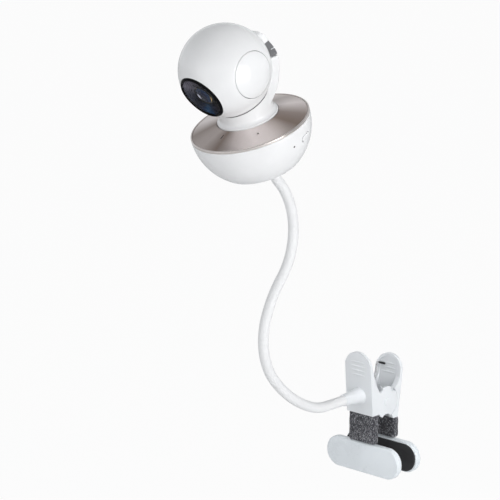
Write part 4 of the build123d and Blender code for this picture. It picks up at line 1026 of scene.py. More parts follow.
# ---- Yoke -----------------------------------------------------------------------------------------
@dataclass
class Yoke:
    """Turntable, pedestal and the band that hugs the rear of the ball, with the folding antenna."""

    turntable_radius: float = 25.6
    turntable_top: float = 7.5
    turntable_low: float = 4.8
    inner: float = 38.2
    thick: float = 7.8
    foot_width: float = 45.0
    top_width: float = 37.0
    front: float = -90.0
    top: float = -6.6
    ball_height: float = 51.7
    pedestal: float = 22.8
    fillet: float = 2.8
    crown: float = 30.0
    reach: float = 60.0
    hinge_at: float = -1.5
    # Angle of the thin white band that is a painted highlight across the antenna's blade.
    highlight_band_at: float = 0.6
    cap_at: float = 8.6
    tip_at: float = 20.5
    tip_lean: float = 2.9
    foot_half: float = 17.6
    flanks: tuple[Point, ...] = ((16.4, -2.0), (9.6, 9.0))
    flank_round: float = 9.0
    tip_half: float = 9.2
    tip_round: float = 6.5
    antenna_width: float = 36.6
    antenna_thick: float = 7.0
    hinge_width: float = 23.0
    knuckle: float = 9.0
    voxel: float = 0.6
    ease: int = 16

    def __post_init__(self) -> None:
        """Work out the outside radius and the hinge's place."""
        self.outer = self.inner + self.thick
        reach, spot = self.outer - self.antenna_thick / 2, radians(self.hinge_at)
        at_hinge = Matrix.Translation((0, reach * cos(spot), reach * sin(spot)))
        self.hinge = YOKE_SPACE @ at_hinge @ Matrix.Rotation(spot, 4, "X")

    def band_profile(self, inner: float, outer: float, width: float, edge: float) -> list[Point]:
        """Section of a curved band: (distance from the axle, place along it)."""
        half = width / 2
        outer_arc = [(sqrt(outer**2 - x**2), x) for x in np.linspace(-half, half, 33)]
        inner_arc = [(sqrt(inner**2 - x**2), x) for x in np.linspace(half, -half, 33)]
        radii = [edge] + [0.0] * 31 + [edge] + [edge * 0.4] + [0.0] * 31 + [edge * 0.4]
        return rounded(outer_arc + inner_arc, radii, steps=6)

    def band(
        self, name: str, profile: list[Point], start: float, stop: float, steps: int = 90,
    ) -> Object:
        """Band about the axle between two angles above the rearward direction."""
        return lathe(name, profile, YOKE_SPACE @ ABOUT_X, steps, closed=True, start=start, sweep=stop - start)

    def column(self) -> Object:
        """Pedestal and tapering band in one flowing piece."""
        rim, low, far = self.turntable_radius - 0.8, self.turntable_top, self.reach
        flare = [(0, low - 1.5), (rim, low - 1.5), (rim, low)]
        hollow = arc((self.pedestal + self.fillet, low + self.fillet), self.fillet, 270, 180, 10)
        flare += hollow[1:] + [(self.pedestal + 0.6, self.crown), (0, self.crown)]
        piece = lathe("pedestal_and_band", flare, HEAD_SPACE, 192)
        profile = self.band_profile(self.inner - 1.2, self.outer, self.foot_width + 6, 0.5)
        band = self.band("band", profile, self.front, self.top)
        slope = (self.foot_width - self.top_width) / 2 / self.ball_height
        wide, narrow = self.top_width / 2 + slope * far, self.top_width / 2 - slope * far
        taper = [(-wide, -far), (wide, -far), (narrow, far), (-narrow, far)]
        carve(band, prism("taper", taper, -far, far, YOKE_SPACE @ FRONT_VIEW), "INTERSECT")
        carve(piece, band, "UNION")
        alter(piece, "REMESH", mode="VOXEL", voxel_size=self.voxel * MM)
        alter(piece, "SMOOTH", factor=0.5, iterations=self.ease)
        ball = arc((0, 0), self.inner, 90, -90, 96)
        carve(piece, lathe("ball_room", ball, YOKE_SPACE, 192))
        foot = [(0, 0), (far, 0), (far, low + 0.05), (0, low + 0.05)]
        carve(piece, lathe("foot_cut", foot, HEAD_SPACE, 96))
        dress(piece, GLOSS_WHITE, Body.YOKE, angle=45)
        round_normals(piece, Vector(TILT["pos_m"]), self.inner, 0.03)
        return piece

    def turntable(self) -> Object:
        """Thin disc under the pedestal, with its spindle."""
        r, low, high = self.turntable_radius, self.turntable_low, self.turntable_top
        profile = rounded(
            [(0, -9), (9, -9), (9, low), (r, low), (r, high - 0.3), (r - 1.6, high + 0.06), (0, high + 0.06)],
            [0, 0.4, 0.2, 0.3, 0.7, 0.8, 0], closed=False, steps=4,
        )
        piece = lathe("turntable_disc", profile, HEAD_SPACE, 224)
        return dress(piece, GLOSS_WHITE, Body.YOKE, "yoke", angle=40)

    def barrel(self, name: str, start: float, stop: float, radius: float) -> Object:
        """Round bar on the hinge's axis between two stations."""
        outline = [(0, start), (radius, start), (radius, stop), (0, stop)]
        return lathe(name, rounded(outline, [0, 0.4, 0.4, 0], closed=False), self.hinge @ ABOUT_X, 64)

    def tongue(self, name: str, low: float, high: float) -> Object:
        """Cutter with the antenna's outline from behind, between two angles about the axle."""
        middle = (self.hinge_at + self.tip_at) / 2
        flanks = [spot for spot in self.flanks if low < spot[1] < high]
        side = [(self.foot_half, low), *flanks, (self.tip_half, high)]
        outline = side + [(-x, at) for x, at in reversed(side)]
        flat = [(x, self.outer * sin(radians(at - middle))) for x, at in outline]
        radii = [5.0, *[self.flank_round] * (len(side) - 2), self.tip_round]
        aim = YOKE_SPACE @ Matrix.Rotation(radians(middle), 4, "X") @ TO_LENS
        return prism(name, rounded(flat, radii + radii[::-1], steps=14), -80, 0, aim)

    def lean(self, piece: Object) -> Object:
        """Bring the antenna's outside nearer to the ball towards its tip, and thin it."""
        back = YOKE_SPACE.inverted()
        for vertex in piece.data.vertices:
            spot = back @ vertex.co
            reach = hypot(spot.y, spot.z)
            share = max(0.0, degrees(atan2(spot.z, spot.y)) - self.hinge_at) / (self.tip_at - self.hinge_at)
            close = 1 - share * self.tip_lean * max(0.0, spot.length - self.inner) / self.thick / reach
            vertex.co = YOKE_SPACE @ Vector((spot.x, spot.y * close, spot.z * close))
        return piece

    def antenna(self) -> None:
        """Folding antenna: grey blade with its hinge barrel, a thin white band across it as a painted
        highlight, and a white rounded cap.
        """
        inner = self.outer - self.antenna_thick
        radius = self.antenna_thick / 2 - 0.1
        half = self.knuckle / 2
        knuckle = self.barrel("antenna_knuckle", -half, half, radius)
        web = [(-radius, -2.6 * radius), (0.4, -2.6 * radius), (0.4, 0.0), (-radius, 0.0)]
        carve(knuckle, prism("web", web, -half, half, self.hinge @ ABOUT_X), "UNION")
        dress(soften(knuckle, 0.3, 3, 50), GLOSS_WHITE, Body.YOKE, angle=50)
        foot = self.top + 1.1
        profile = self.band_profile(inner, self.outer - 0.2, self.antenna_width, 1.2)
        blade = self.band("antenna_blade", profile, foot, self.cap_at, 60)
        carve(blade, self.tongue("foot_outline", foot - 0.2, self.tip_at), "INTERSECT")
        side = self.hinge_width / 2
        carve(blade, self.barrel("side_barrels", -side, side, radius), "UNION")
        opening, room = half + 0.4, radius + 0.4
        outline = [(-14, -14), (14, -14), (14, -0.05), (room, -0.05), *arc((0, 0), room, 2, 178, 32)]
        outline += [(-room, -0.05), (-14, -0.05)]
        carve(blade, prism("knuckle_room", outline, -opening, opening, self.hinge @ ABOUT_X))
        sweep = [*arc((0, 0), radius, 272, 358, 20), (14, -0.1), (14, -14), (0.1, -14)]
        carve(blade, prism("sweep_room", sweep, -40, 40, self.hinge @ ABOUT_X))
        dress(soften(self.lean(blade), 0.5, 3, 50), KNUCKLE_GREY, Body.ANTENNA, "antenna_core", angle=40)
        # A thin white band across the grey blade stands in for a highlight line: painted highlight.
        profile = self.band_profile(inner + 1, self.outer - 0.05, 2 * self.foot_half, 0.4)
        seam = self.band("antenna_highlight_band", profile, self.highlight_band_at, self.highlight_band_at + 0.6, 8)
        carve(seam, self.tongue("seam_outline", foot, self.tip_at), "INTERSECT")
        dress(self.lean(seam), SATIN_WHITE, Body.ANTENNA, angle=40)
        profile = self.band_profile(inner, self.outer + 0.3, self.antenna_width, 1.6)
        cap = self.band("antenna_tip", profile, self.cap_at + 0.3, self.tip_at + 4, 60)
        carve(cap, self.tongue("tip_outline", foot, self.tip_at), "INTERSECT")
        dress(soften(self.lean(cap), 1.3, 5, 50), GLOSS_WHITE, Body.ANTENNA, "antenna_cap", angle=50)

    def build(self) -> None:
        """Make all of the yoke."""
        self.column()
        self.turntable()
        self.antenna()
        dress_nodes({
            ACETAL: ("pan_gear", "tilt_gear"), KNUCKLE_GREY: ("tilt_bracket",),
            STEEL: ("tilt_axle", "antenna_pin"),
        })


# ---- Base -----------------------------------------------------------------------------------------
@dataclass
class RoundBase:
    """Bowl, rim ring and metal plate, in head coordinates with Z = 0 at the plate's edge."""

    radius: float = 50.0
    swell: float = 48.5
    depth: float = 40.0
    wall: float = 2.4
    floor: float = 3.0
    drop: float = 2.0
    rim: float = 1.3
    rim_top: float = 0.4
    plate_rise: float = 6.0
    turntable: float = 26.0
    seat: float = 4.4
    socket_back: float = 10.0
    light_at: float = 33.0
    light_size: Point = (1.2, 4.6)
    mic_at: float = 35.0
    mic_hole: float = 0.95
    mic_bearing: float = 54.0
    button_size: Point = (4.6, 11.0)
    button_gap: float = 0.6
    button_spot: Point = (13.0, -14.0)
    pair_spot: Point = (167.0, -14.0)
    pair_hole: float = 2.8
    lamp_spot: Point = (-6.0, -14.5)
    lamp_hole: float = 0.9
    inlet_spot: Point = (90.0, -16.0)
    inlet_half: Point = (2.2, 4.5)
    socket_hole: float = 6.5
    bush_room: float = 12.0
    foot_from: float = 26.0
    foot_to: float = 29.0

    def __post_init__(self) -> None:
        """Work out the plate's outer and inner edges."""
        self.plate_edge, self.plate_hole = self.radius - self.rim - 0.2, self.turntable + 0.2

    def wall_place(self, bearing: float, height: float) -> Matrix:
        """Place on the bowl's outside, with local Z out of the wall and local X downwards."""
        fall = asin((-height - self.drop) / self.swell)
        reach = self.radius - self.swell + self.swell * cos(fall)
        turn = Matrix.Rotation(radians(bearing), 4, "Z") @ Matrix.Translation((reach, 0, height))
        return HEAD_SPACE @ turn @ Matrix.Rotation(radians(90) + fall, 4, "Y")

    def pill(self, size: Point, grow: float) -> list[Point]:
        """Pill outline, long along local Y."""
        w, h = size[0] / 2 + grow, size[1] / 2 + grow
        return rounded(box((w, h)), w * 0.999, steps=12)

    def bowl(self) -> Object:
        """White bowl with its openings."""
        middle = self.radius - self.swell
        stop = degrees(asin((self.depth - self.drop) / self.swell))
        outer = arc((middle, -self.drop), self.swell, 0, -stop, 48)
        foot = [outer[-2], outer[-1], (self.radius * 0.2, -self.depth)]
        foot = rounded(foot, [0, 4.0, 0], closed=False, steps=8)
        inner_swell = self.swell - self.wall
        inner_stop = degrees(asin((self.depth - self.floor - self.drop) / inner_swell))
        inner = arc((middle, -self.drop), inner_swell, -inner_stop, 0, 40)
        profile = [(self.radius - 0.35, -self.drop - 0.02), (self.radius - 0.05, -self.drop - 0.3)]
        profile += outer[2:-2] + foot + [(0, -self.depth), (0, self.floor - self.depth)] + inner
        piece = lathe("bowl", profile, HEAD_SPACE, 256, closed=True)
        for name, hole, spot in (
            ("button_hole", self.pill(self.button_size, self.button_gap), self.button_spot),
            ("pair_hole", circle(self.pair_hole, 48), self.pair_spot),
            ("light_hole", circle(self.lamp_hole, 32), self.lamp_spot),
            ("inlet_hole", rounded(box(self.inlet_half), 0.8), self.inlet_spot),
        ):
            carve(piece, prism(name, hole, -8, 8, self.wall_place(*spot)))
        socket = circle(self.socket_hole, 64, (0.0, self.socket_back))
        carve(piece, prism("socket_hole", socket, -60, -30, HEAD_SPACE))
        return dress(piece, GLOSS_WHITE, Body.BASE, "bowl_shell", angle=32)

    def ring(self) -> Object:
        """Pearl ring with a fine parting line under it."""
        r, top = self.radius, self.rim_top
        lip = r - self.rim
        profile = rounded([
            (r - self.wall, -self.drop), (r - 0.3, -self.drop), (r, -self.drop + 0.3), (r, top - 0.35),
            (r - 0.4, top), (lip, top), (lip, -self.drop + 0.8), (r - self.wall, -self.drop + 0.8),
        ], [0, 0.2, 0.2, 0.3, 0.3, 0.25, 0, 0])
        piece = lathe("rim", profile, HEAD_SPACE, 256, closed=True)
        return dress(piece, PEARL, Body.BASE, "rim_ring", angle=40)

    def plate_top(self, r: float) -> float:
        """Height of the plate's upper face at a radius."""
        share = (self.plate_edge - r) / (self.plate_edge - self.plate_hole)
        return 0.2 + self.plate_rise * (share * 0.9 + 0.1 * share * (2 - share)) * 0.97

    def plate(self) -> Object:
        """Champagne plate with its light slit and microphone hole."""
        edge, inner, seat, room = self.plate_edge, self.plate_hole, self.seat, self.bush_room
        profile = [(edge, -1.2), (edge, -0.1), (edge - 0.15, 0.12)]
        profile += [(r, self.plate_top(r)) for r in np.linspace(edge - 0.5, inner + 0.5, 40)]
        profile += [(inner + 0.1, self.plate_top(inner) - 0.05), (inner, self.plate_top(inner) - 0.3)]
        profile += [(inner, seat), (room, seat), (room, seat - 1.4), (inner + 1.4, seat - 1.4)]
        piece = lathe("top_plate_metal", profile + [(edge - 2.5, -1.2)], HEAD_SPACE, 256, closed=True)
        half = (self.light_size[0] / 2, self.light_size[1] / 2)
        slit = rounded(box(half, (0.0, -self.light_at)), half[0] * 0.98)
        carve(piece, prism("slit", slit, -20, 20, HEAD_SPACE))
        turn = HEAD_SPACE @ Matrix.Rotation(radians(self.mic_bearing), 4, "Z")
        hole = circle(self.mic_hole, 32, (0.0, -self.mic_at))
        carve(piece, prism("mic_hole", hole, -20, 20, turn))
        return dress(piece, CHAMPAGNE, Body.BASE, "top_plate", angle=30)

    def button(self) -> Object:
        """Power button with a softly crowned face."""
        outline, place = self.pill(self.button_size, 0), self.wall_place(*self.button_spot)
        piece = prism("power_key", outline, -4.2, 0.7, place)
        soften(piece, 0.7, 4, 50)
        return dress(piece, GLOSS_WHITE, Body.POWER_BUTTON, "power_button", angle=50)

    def build(self) -> None:
        """Make all of the base."""
        self.bowl()
        self.ring()
        self.plate()
        self.button()
        low, high = -self.depth - 0.5, -self.depth + 0.5
        near, far = self.foot_from, self.foot_to
        foot = rounded([(near, low), (far, low), (far, high), (near, high)], 0.4)
        foot = lathe("rubber_foot", foot, HEAD_SPACE, 192, closed=True)
        dress(foot, RUBBER, Body.BASE, "foot_ring", angle=40)
        dress_nodes({
            SMOKED_LAMP: ("status_light", "power_light"), MOTOR_STEEL: ("microphone", "pan_motor"),
            ACETAL: ("pan_bush", "pan_pinion"), BOARD_GREEN: ("main_board",), BRASS: ("threaded_insert",),
            MATTE_BLACK: ("speaker", "power_inlet"), GLOSS_WHITE: ("pair_button",), STEEL: ("neck_stud",),
        })


# ---- Neck -----------------------------------------------------------------------------------------
@dataclass
class BendableNeck:
    """Soft ribbed skin over the bendable core, from the clip's boss to the base's ferrule."""

    runs: tuple[Point, ...] = (
        (22.9, 0.0), (21.6, 22.1), (59.1, 27.5), (61.5, 61.7), (35.0, 20.4), (92.3, -88.5), (11.0, 24.5),
        (12.0, 0.0),
    )
    joints: tuple[float, ...] = (36.0, 80.0, 124.0, 168.0, 212.0, 256.0)
    radius: float = 4.5
    start: Space = (0.0, -35.0, 60.0)
    ferrule: float = 12.0
    rib_pitch: float = 1.9
    rib_depth: float = 0.06
    step: float = 0.38
    sides: int = 40
    blend_reach: float = 13.0

    def station(self, distance: float) -> tuple[Vector, float]:
        """Point, in millimetres, and heading, in radians, of the centre line at a distance."""
        _, y, z = self.start
        heading, left = 0.0, distance
        for length, turn in self.runs:
            part = min(left, length)
            bend = radians(turn) * part / length
            chord = part if abs(bend) < 1e-9 else 2 * part / bend * sin(bend / 2)
            y -= chord * cos(heading + bend / 2)
            z += chord * sin(heading + bend / 2)
            heading += bend
            left -= part
            if left <= 1e-9:
                break
        return Vector((0, y, z)), heading

    def skin_tree(self) -> NodeTree:
        """Geometry Nodes tree: a ribbed tube along a path, with named sizes."""
        sockets = {
            "Path": "Geometry", "Radius": "Float", "Rib Pitch": "Float", "Rib Depth": "Float",
            "Step": "Float", "Sides": "Int", "Skin": "Material",
        }
        tree, make, source, result = make_group("ribbed_skin", sockets, {"Geometry": "Geometry"}, "Geometry")
        curve = make.add("GeometryNodeMeshToCurve", Mesh=source["Path"])
        even = make.add(
            "GeometryNodeResampleCurve", Curve=curve.outputs["Curve"], Length=source["Step"], mode="LENGTH",
        )
        place = make.add("GeometryNodeSplineParameter")
        phase = make.math("DIVIDE", place.outputs["Length"], source["Rib Pitch"])
        wave = make.math("COSINE", make.math("MULTIPLY", phase, 2 * pi))
        size = make.math("ADD", source["Radius"], make.math("MULTIPLY", wave, source["Rib Depth"]))
        sized = make.add("GeometryNodeSetCurveRadius", Curve=even.outputs["Curve"], Radius=size)
        circle_node = make.add("GeometryNodeCurvePrimitiveCircle", Resolution=source["Sides"], Radius=1.0)
        tube = make.add("GeometryNodeCurveToMesh", Curve=sized.outputs["Curve"])
        make.put(tube, Profile_Curve=circle_node.outputs["Curve"], Fill_Caps=True)
        if "Scale" in tube.inputs:
            make.put(tube, Scale=size)
        shaded = make.add("GeometryNodeSetShadeSmooth", Geometry=tube.outputs["Mesh"])
        real = make.add("GeometryNodeRealizeInstances", Geometry=shaded.outputs["Geometry"])
        done = make.add("GeometryNodeSetMaterial", Geometry=real.outputs["Geometry"], Material=source["Skin"])
        make.put(result, Geometry=done.outputs["Geometry"])
        return tree

    def skin(self, tree: NodeTree, name: str, begin: float, end: float) -> Object:
        """One stretch of skin, as a plain mesh."""
        count = max(8, int((end - begin) / 0.5))
        path = [self.station(begin + (end - begin) * i / count)[0] for i in range(count + 1)]
        mesh = bpy.data.meshes.new(name)
        mesh.from_pydata([p * MM for p in path], [(i, i + 1) for i in range(count)], [])
        return grown(name, tree, {
            "Radius": self.radius * MM, "Rib Pitch": self.rib_pitch * MM, "Rib Depth": self.rib_depth * MM,
            "Step": self.step * MM, "Sides": self.sides, "Skin": NECK_WHITE.material(),
        }, mesh=mesh)

    def build(self) -> None:
        """Make the skin joint by joint, the boss and the ferrule."""
        tree = self.skin_tree()
        last = sum(length for length, _ in self.runs) - self.ferrule
        stops = [0.0] + [(a + b) / 2 for a, b in zip(self.joints, self.joints[1:])] + [last]
        for index, at in enumerate(self.joints):
            piece = self.skin(tree, f"neck_skin_{index + 1}", stops[index], stops[index + 1])
            nodes = [f"neck_segment_{index + 1}"] + (["neck_segment_7"] if index == 5 else [])
            dress(piece, NECK_WHITE, None, *nodes, angle=0)
            before, after = self.station(at - self.blend_reach)[0], self.station(at + self.blend_reach)[0]
            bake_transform(piece)
        socket = HEAD_SPACE @ Matrix.Translation((0, 10, -40))
        ferrule = [(0, 0), (6, 0), (6, -2.2), (4.95, -12), (0, -12)]
        ferrule = rounded(ferrule, [0, 0.5, 0.8, 0.5, 0], closed=False)
        dress(lathe("ferrule", ferrule, socket, 128), FERRULE_GREY, Body.BASE, "neck_ferrule", angle=40)
        boss = rounded(
            [(0, -1), (8.4, -1), (7.1, 0.9), (6.7, 4), (5.4, 21.2), (4.7, 22.0), (0, 22.0)],
            [0, 0.2, 1.6, 3.0, 0.8, 0.3, 0], closed=False, steps=6,
        )
        seat = Matrix.Scale(MM, 4) @ Matrix.Translation((0, -13.0, 60)) @ Matrix.Rotation(radians(90), 4, "X")
        dress(lathe("neck_boss_cone", boss, seat, 128), SATIN_WHITE, Body.CLIP, "neck_boss", angle=40)


# ---- Rail clip ------------------------------------------------------------------------------------
@dataclass(frozen=True)
class Handle:
    """Measures of one jaw's handle, all from the rail face or the pad's middle."""

    face: float
    lean: float
    foot: float
    top: float

    def outside(self, height: float) -> float:
        """Distance of the outside of the handle from the rail face, as a Y value."""
        return -self.face - self.lean * (height - self.foot) / (self.top - self.foot)


@dataclass(frozen=True)
class Cheek:
    """Outline of one jaw's cheek plates, from the pivot."""

    top: float
    foot: float
    spots: tuple[Point, ...]
    blends: Point


@dataclass
class RailClip:
    """Two sprung jaws on a pivot pin, with knitted sleeves and pill-shaped pads."""

    front: Handle = Handle(11.3, 4.7, 42.6, 101.0)
    rear: Handle = Handle(7.4, 8.0, 34.6, 91.0)
    front_cheek: Cheek = Cheek(
        38.5, 7.0, ((-19.4, 29.9), (-16.2, 20.4), (-10.3, 10.5), (0.0, 0.0), (0.0, -10.8)), (30.0, 16.0),
    )
    rear_cheek: Cheek = Cheek(
        28.5, 9.6, ((-18.9, 19.9), (-14.8, 13.7), (-9.5, 9.5), (0.0, 0.0), (0.0, -10.0), (-6.8, -12.4)),
        (14.0, 10.0),
    )
    notches: tuple[Space, ...] = ((-8.6, 14.2, 3.4), (9.6, 12.6, 4.6), (-0.5, -18.5, 7.6))
    gap: float = 18.0
    width: float = 30.0
    handle_thick: float = 3.2
    pivot_height: float = 52.0
    ear: float = 14.6
    inner_ear: float = 11.0
    cheek: float = 2.4
    cheek_gap: float = 0.4
    arm_width: float = 26.6
    arm_front: float = -8.0
    arm_thick: float = 5.0
    sleeve_bottom: float = 16.6
    pad_size: Point = (84.0, 28.6)
    pad_thick: float = 8.0
    grip: float = 1.5
    spring_radius: float = 4.6
    spring_leg: float = 29.0
    spring_knee: float = 12.5
    spring_tip: float = 9.0
    spring_bend: float = 2.0
    wire: float = 1.6
    tip_sleeve: float = 0.25
    panel_depth: float = 0.9
    knit_thick: float = 0.7
    knit_gap: float = 0.15
    knit_body: float = 1.2
    knit_corner: float = 2.4
    knit_hem: float = 1.0
    knit_seeds: tuple[int, int] = (7, 11)
    pad_inset: float = 1.5
    pin: tuple[Point, ...] = (
        (0, -15.8), (3.6, -15.8), (3.6, -15), (2, -15), (2, 15), (3.6, 15), (3.6, 15.8), (0, 15.8),
    )
    turns: int = 6
    turn_steps: int = 36
    ridges: int = 4
    ridge_pitch: float = 4.0
    ridge_first: float = 9.5
    ridge_size: Space = (8.4, 0.55, 0.95)

    def __post_init__(self) -> None:
        """Work out the pivot's place and the coil's length."""
        self.pivot_y = self.gap / 2
        self.coil_span = self.wire * 1.25 * self.turns

    def who(self, rear: bool) -> tuple[Handle, str, Body]:
        """Handle, name and body of one jaw."""
        return (self.rear, "rear", Body.REAR_JAW) if rear else (self.front, "front", Body.CLIP)

    def side(self, rear: bool) -> Matrix:
        """Row space for a front piece, or its mirror image about the pivot."""
        if not rear:
            return ROW_SPACE
        shift = Matrix.Translation((0, 2 * self.pivot_y, 0)) @ Matrix.Scale(-1, 4, (0, 1, 0))
        return ROW_SPACE @ shift

    def blank(self, rear: bool) -> Object:
        """Handle with a rounded top and a hollow inside, its foot and its arm."""
        place, (handle, *_) = self.side(rear), self.who(rear)
        across, half, foot, top = place @ ABOUT_X, self.width / 2, handle.foot, handle.top
        web, back = foot + 3.5, self.arm_front + self.arm_thick
        profile = [
            (-handle.face, foot), (handle.outside(top), top), (handle.outside(top) + self.handle_thick, top),
            (handle.outside(web) + self.handle_thick, web), (back, web), (back, self.sleeve_bottom),
            (self.arm_front, self.sleeve_bottom), (self.arm_front, foot),
        ]
        piece = prism("jaw_body", profile, -half, half, across)
        round_at = top - half
        arm = self.arm_width / 2
        outline = [(-half, foot), (-arm, foot), (-arm, 0), (arm, 0), (arm, foot), (half, foot)]
        outline += arc((0, round_at), half, 0, 180, 64)
        carve(piece, prism("front_outline", outline, -60, 60, place @ FRONT_VIEW), "INTERSECT")
        soften(piece, 1.0, 5, 30)
        reach = half - 2.6
        panel = arc((0, round_at), reach, -20, 200, 56)
        low = [
            panel[-1], (-reach * 0.55, round_at - 18), (0, self.pivot_height + 4),
            (reach * 0.55, round_at - 18), panel[0],
        ]
        panel += rounded(low, [0, 12, 3, 12, 0], closed=False, steps=10)[1:-1]
        floor = handle.outside(round_at) + self.handle_thick - self.panel_depth
        lean = Matrix.Rotation(atan2(handle.lean, top - foot), 4, "X")
        tilt = Matrix.Translation((0, floor, round_at)) @ lean @ Matrix.Translation((0, 0, -round_at))
        return carve(piece, prism("panel", panel, 0, 14, place @ tilt @ FRONT_VIEW))

    def plates(
        self, rear: bool, outline: list[Point], ears: list, cuts: list, outside: float, inside: float,
    ) -> list[Object]:
        """Pair of cheek plates.

        Args:
            rear: Whether they belong to the rear jaw.
            outline: Their outline, as (y, z) points of the front jaw's side.
            ears: Discs that are added, as (centre, radius).
            cuts: Discs that are taken away.
            outside: Distance of their outer faces from the middle.
            inside: Distance of their inner faces.

        Returns:
            The two plates.
        """
        across = self.side(rear) @ ABOUT_X
        made = []
        for sign in (-1, 1):
            low, high = sorted((sign * outside, sign * inside))
            plate = prism("cheek", outline, low, high, across)
            for centre, radius in ears:
                carve(plate, prism("ear", arc(centre, radius, 0, 355, 71), low, high, across), "UNION")
            for centre, radius in cuts:
                carve(plate, prism("notch", arc(centre, radius, 0, 355, 71), low - 1, high + 1, across))
            made.append(plate)
        return made

    def jaw(self, rear: bool) -> Object:
        """Whole moulding of one jaw: the blank with its cheeks."""
        (handle, word, body), y, z = self.who(rear), self.pivot_y, self.pivot_height
        piece, half, cheek = self.blank(rear), self.width / 2, self.rear_cheek if rear else self.front_cheek
        top = z + cheek.top
        edge = handle.outside(top)
        corners = [(-handle.face, handle.foot), (edge + 0.3, top), (edge + 2.4, top)]
        corners += [(y + dy, z + dz) for dy, dz in cheek.spots] + [(y - cheek.foot, handle.foot)]
        blends = [0.0] * 3 + list(cheek.blends)
        outline = rounded(corners, blends + [0.0] * (len(corners) - len(blends)))
        if rear:
            inner, room = half - self.cheek - self.cheek_gap, [((y, z), self.ear + self.cheek_gap)]
            cheeks = self.plates(True, outline, [((y, z), self.inner_ear)], [], inner, inner - self.cheek)
            cheeks += self.plates(True, outline, [], room, half, inner - self.cheek + 0.1)
        else:
            notches = [((y + dy, z + dz), radius) for dy, dz, radius in self.notches]
            cheeks = self.plates(False, outline, [((y, z), self.ear)], notches, half, half - self.cheek)
        back = self.arm_front + self.arm_thick + 2.2
        room = [(-30, 0), (back, 0), (back, handle.foot), (-30, handle.foot)]
        for plate in cheeks:
            carve(plate, prism("sleeve_room", room, -60, 60, self.side(rear) @ ABOUT_X))
            soften(plate, 0.35, 3, 40)
            carve(piece, plate, "UNION")
        dress(piece, SATIN_WHITE, body, f"{word}_jaw", angle=32)
        piece.name = f"{word}_jaw_moulding"
        return piece

    def grip_rows(self, rear: bool, tree: NodeTree) -> None:
        """Rows of grip ridges outside and inside a handle."""
        handle, word, body = self.who(rear)
        first, slope = handle.top - self.ridge_first, handle.lean / (handle.top - handle.foot)
        rows = (("outer", self.ridges, 0.1), ("inner", self.ridges - 1, self.handle_thick - 1.0))
        for side, count, depth in rows:
            piece = grown(f"{word}_{side}_ridges", tree, {
                "Count": count, "Start": (0.0, handle.outside(first) + depth, first),
                "Offset": (0.0, slope * self.ridge_pitch, -self.ridge_pitch), "Size": self.ridge_size,
                "Finish": SATIN_WHITE.material(),
            }, self.side(rear))
            dress(piece, SATIN_WHITE, body, angle=60)

    def pad(self, rear: bool) -> None:
        """Pill-shaped pad plate and its rubber face."""
        facing, (_, word, body) = self.side(rear) @ FRONT_VIEW, self.who(rear)
        w, h = self.pad_size[0] / 2, self.pad_size[1] / 2
        outline = rounded(box((w, h)), h * 0.999, steps=28)
        piece = prism(f"{word}_pad_plate", outline, -self.pad_thick, -self.grip, facing)
        soften(piece, 1.6, 6, 60)
        dress(piece, PAD_WHITE, body, f"{word}_pad", angle=50)
        w, h = w - self.pad_inset, h - self.pad_inset
        grip = prism(f"{word}_pad_rubber", rounded(box((w, h)), h * 0.999, steps=28), -self.grip, 0, facing)
        soften(grip, 0.4, 3, 60)
        dress(grip, RUBBER, body, f"{word}_pad_grip", angle=50)

    def sleeve(self, rear: bool) -> None:
        """Knitted sleeve: a closed band of ribbed stitches round the arm."""
        handle, word, body = self.who(rear)
        half = tuple(size / 2 + self.knit_gap + self.knit_body for size in (self.arm_width, self.arm_thick))
        middle = self.arm_front + self.arm_thick / 2
        low, high = self.sleeve_bottom - self.knit_hem, handle.foot - 0.2
        outline = rounded(box(half), self.knit_corner, steps=10)
        points, faces, tones, flat = Knit().tube(outline, low, high, self.knit_seeds[rear])
        points = [(x, middle + y, z) for x, y, z in points]
        piece = add_mesh(f"{word}_knit_sleeve", points, faces, self.side(rear))
        # The yarn attribute holds each stitch's tone with painted shade in the hollows.
        attribute = piece.data.attributes.new("yarn", "FLOAT", "POINT")
        attribute.data.foreach_set("value", np.array(tones, np.float32))
        alter(piece, "SOLIDIFY", thickness=self.knit_thick * MM, offset=-1.0)
        dress(piece, KNIT, body, f"{word}_sleeve", angle=80)

    def wire_piece(self, name: str, path: list[Space], body: Body, *nodes: str) -> Object:
        """Round wire along a path about the pivot, as a mesh."""
        curve = bpy.data.curves.new(name, "CURVE")
        curve.dimensions = "3D"
        curve.bevel_depth = self.wire / 2 * MM
        curve.bevel_resolution = 4
        curve.use_fill_caps = True
        spline = curve.splines.new("POLY")
        spline.points.add(len(path) - 1)
        for point, (x, y, z) in zip(spline.points, path):
            point.co = (x * MM, (self.pivot_y + y) * MM, (self.pivot_height + z) * MM, 1)
        holder = new_object(name, curve)
        graph = bpy.context.evaluated_depsgraph_get()
        mesh = bpy.data.meshes.new_from_object(holder.evaluated_get(graph))
        bpy.data.objects.remove(holder)
        return dress(new_object(name, mesh), CHROME, body, *nodes, angle=50)

    def leg(self, side: int) -> list[Space]:
        """Path of one spring leg from its coil end to its bent tip, about the pivot."""
        handle, span = self.who(side > 0)[0], self.coil_span
        face = -handle.outside(self.pivot_height + self.spring_leg) - self.handle_thick + self.pivot_y
        reach = face - self.wire / 2 - 0.25
        foot = Vector((-side * span / 2, side * self.spring_radius, 0))
        knee = Vector((-side * self.spring_knee, side * reach, self.spring_leg))
        tip = Vector((-side * (self.spring_knee - self.spring_tip), side * reach, self.spring_leg))
        before, after = ((end - knee).normalized() * self.spring_bend for end in (foot, tip))
        corner = [knee + before * (1 - t) ** 2 + after * t**2 for t in np.linspace(0, 1, 9)]
        return [tuple(p) for p in [foot, *corner, tip]]

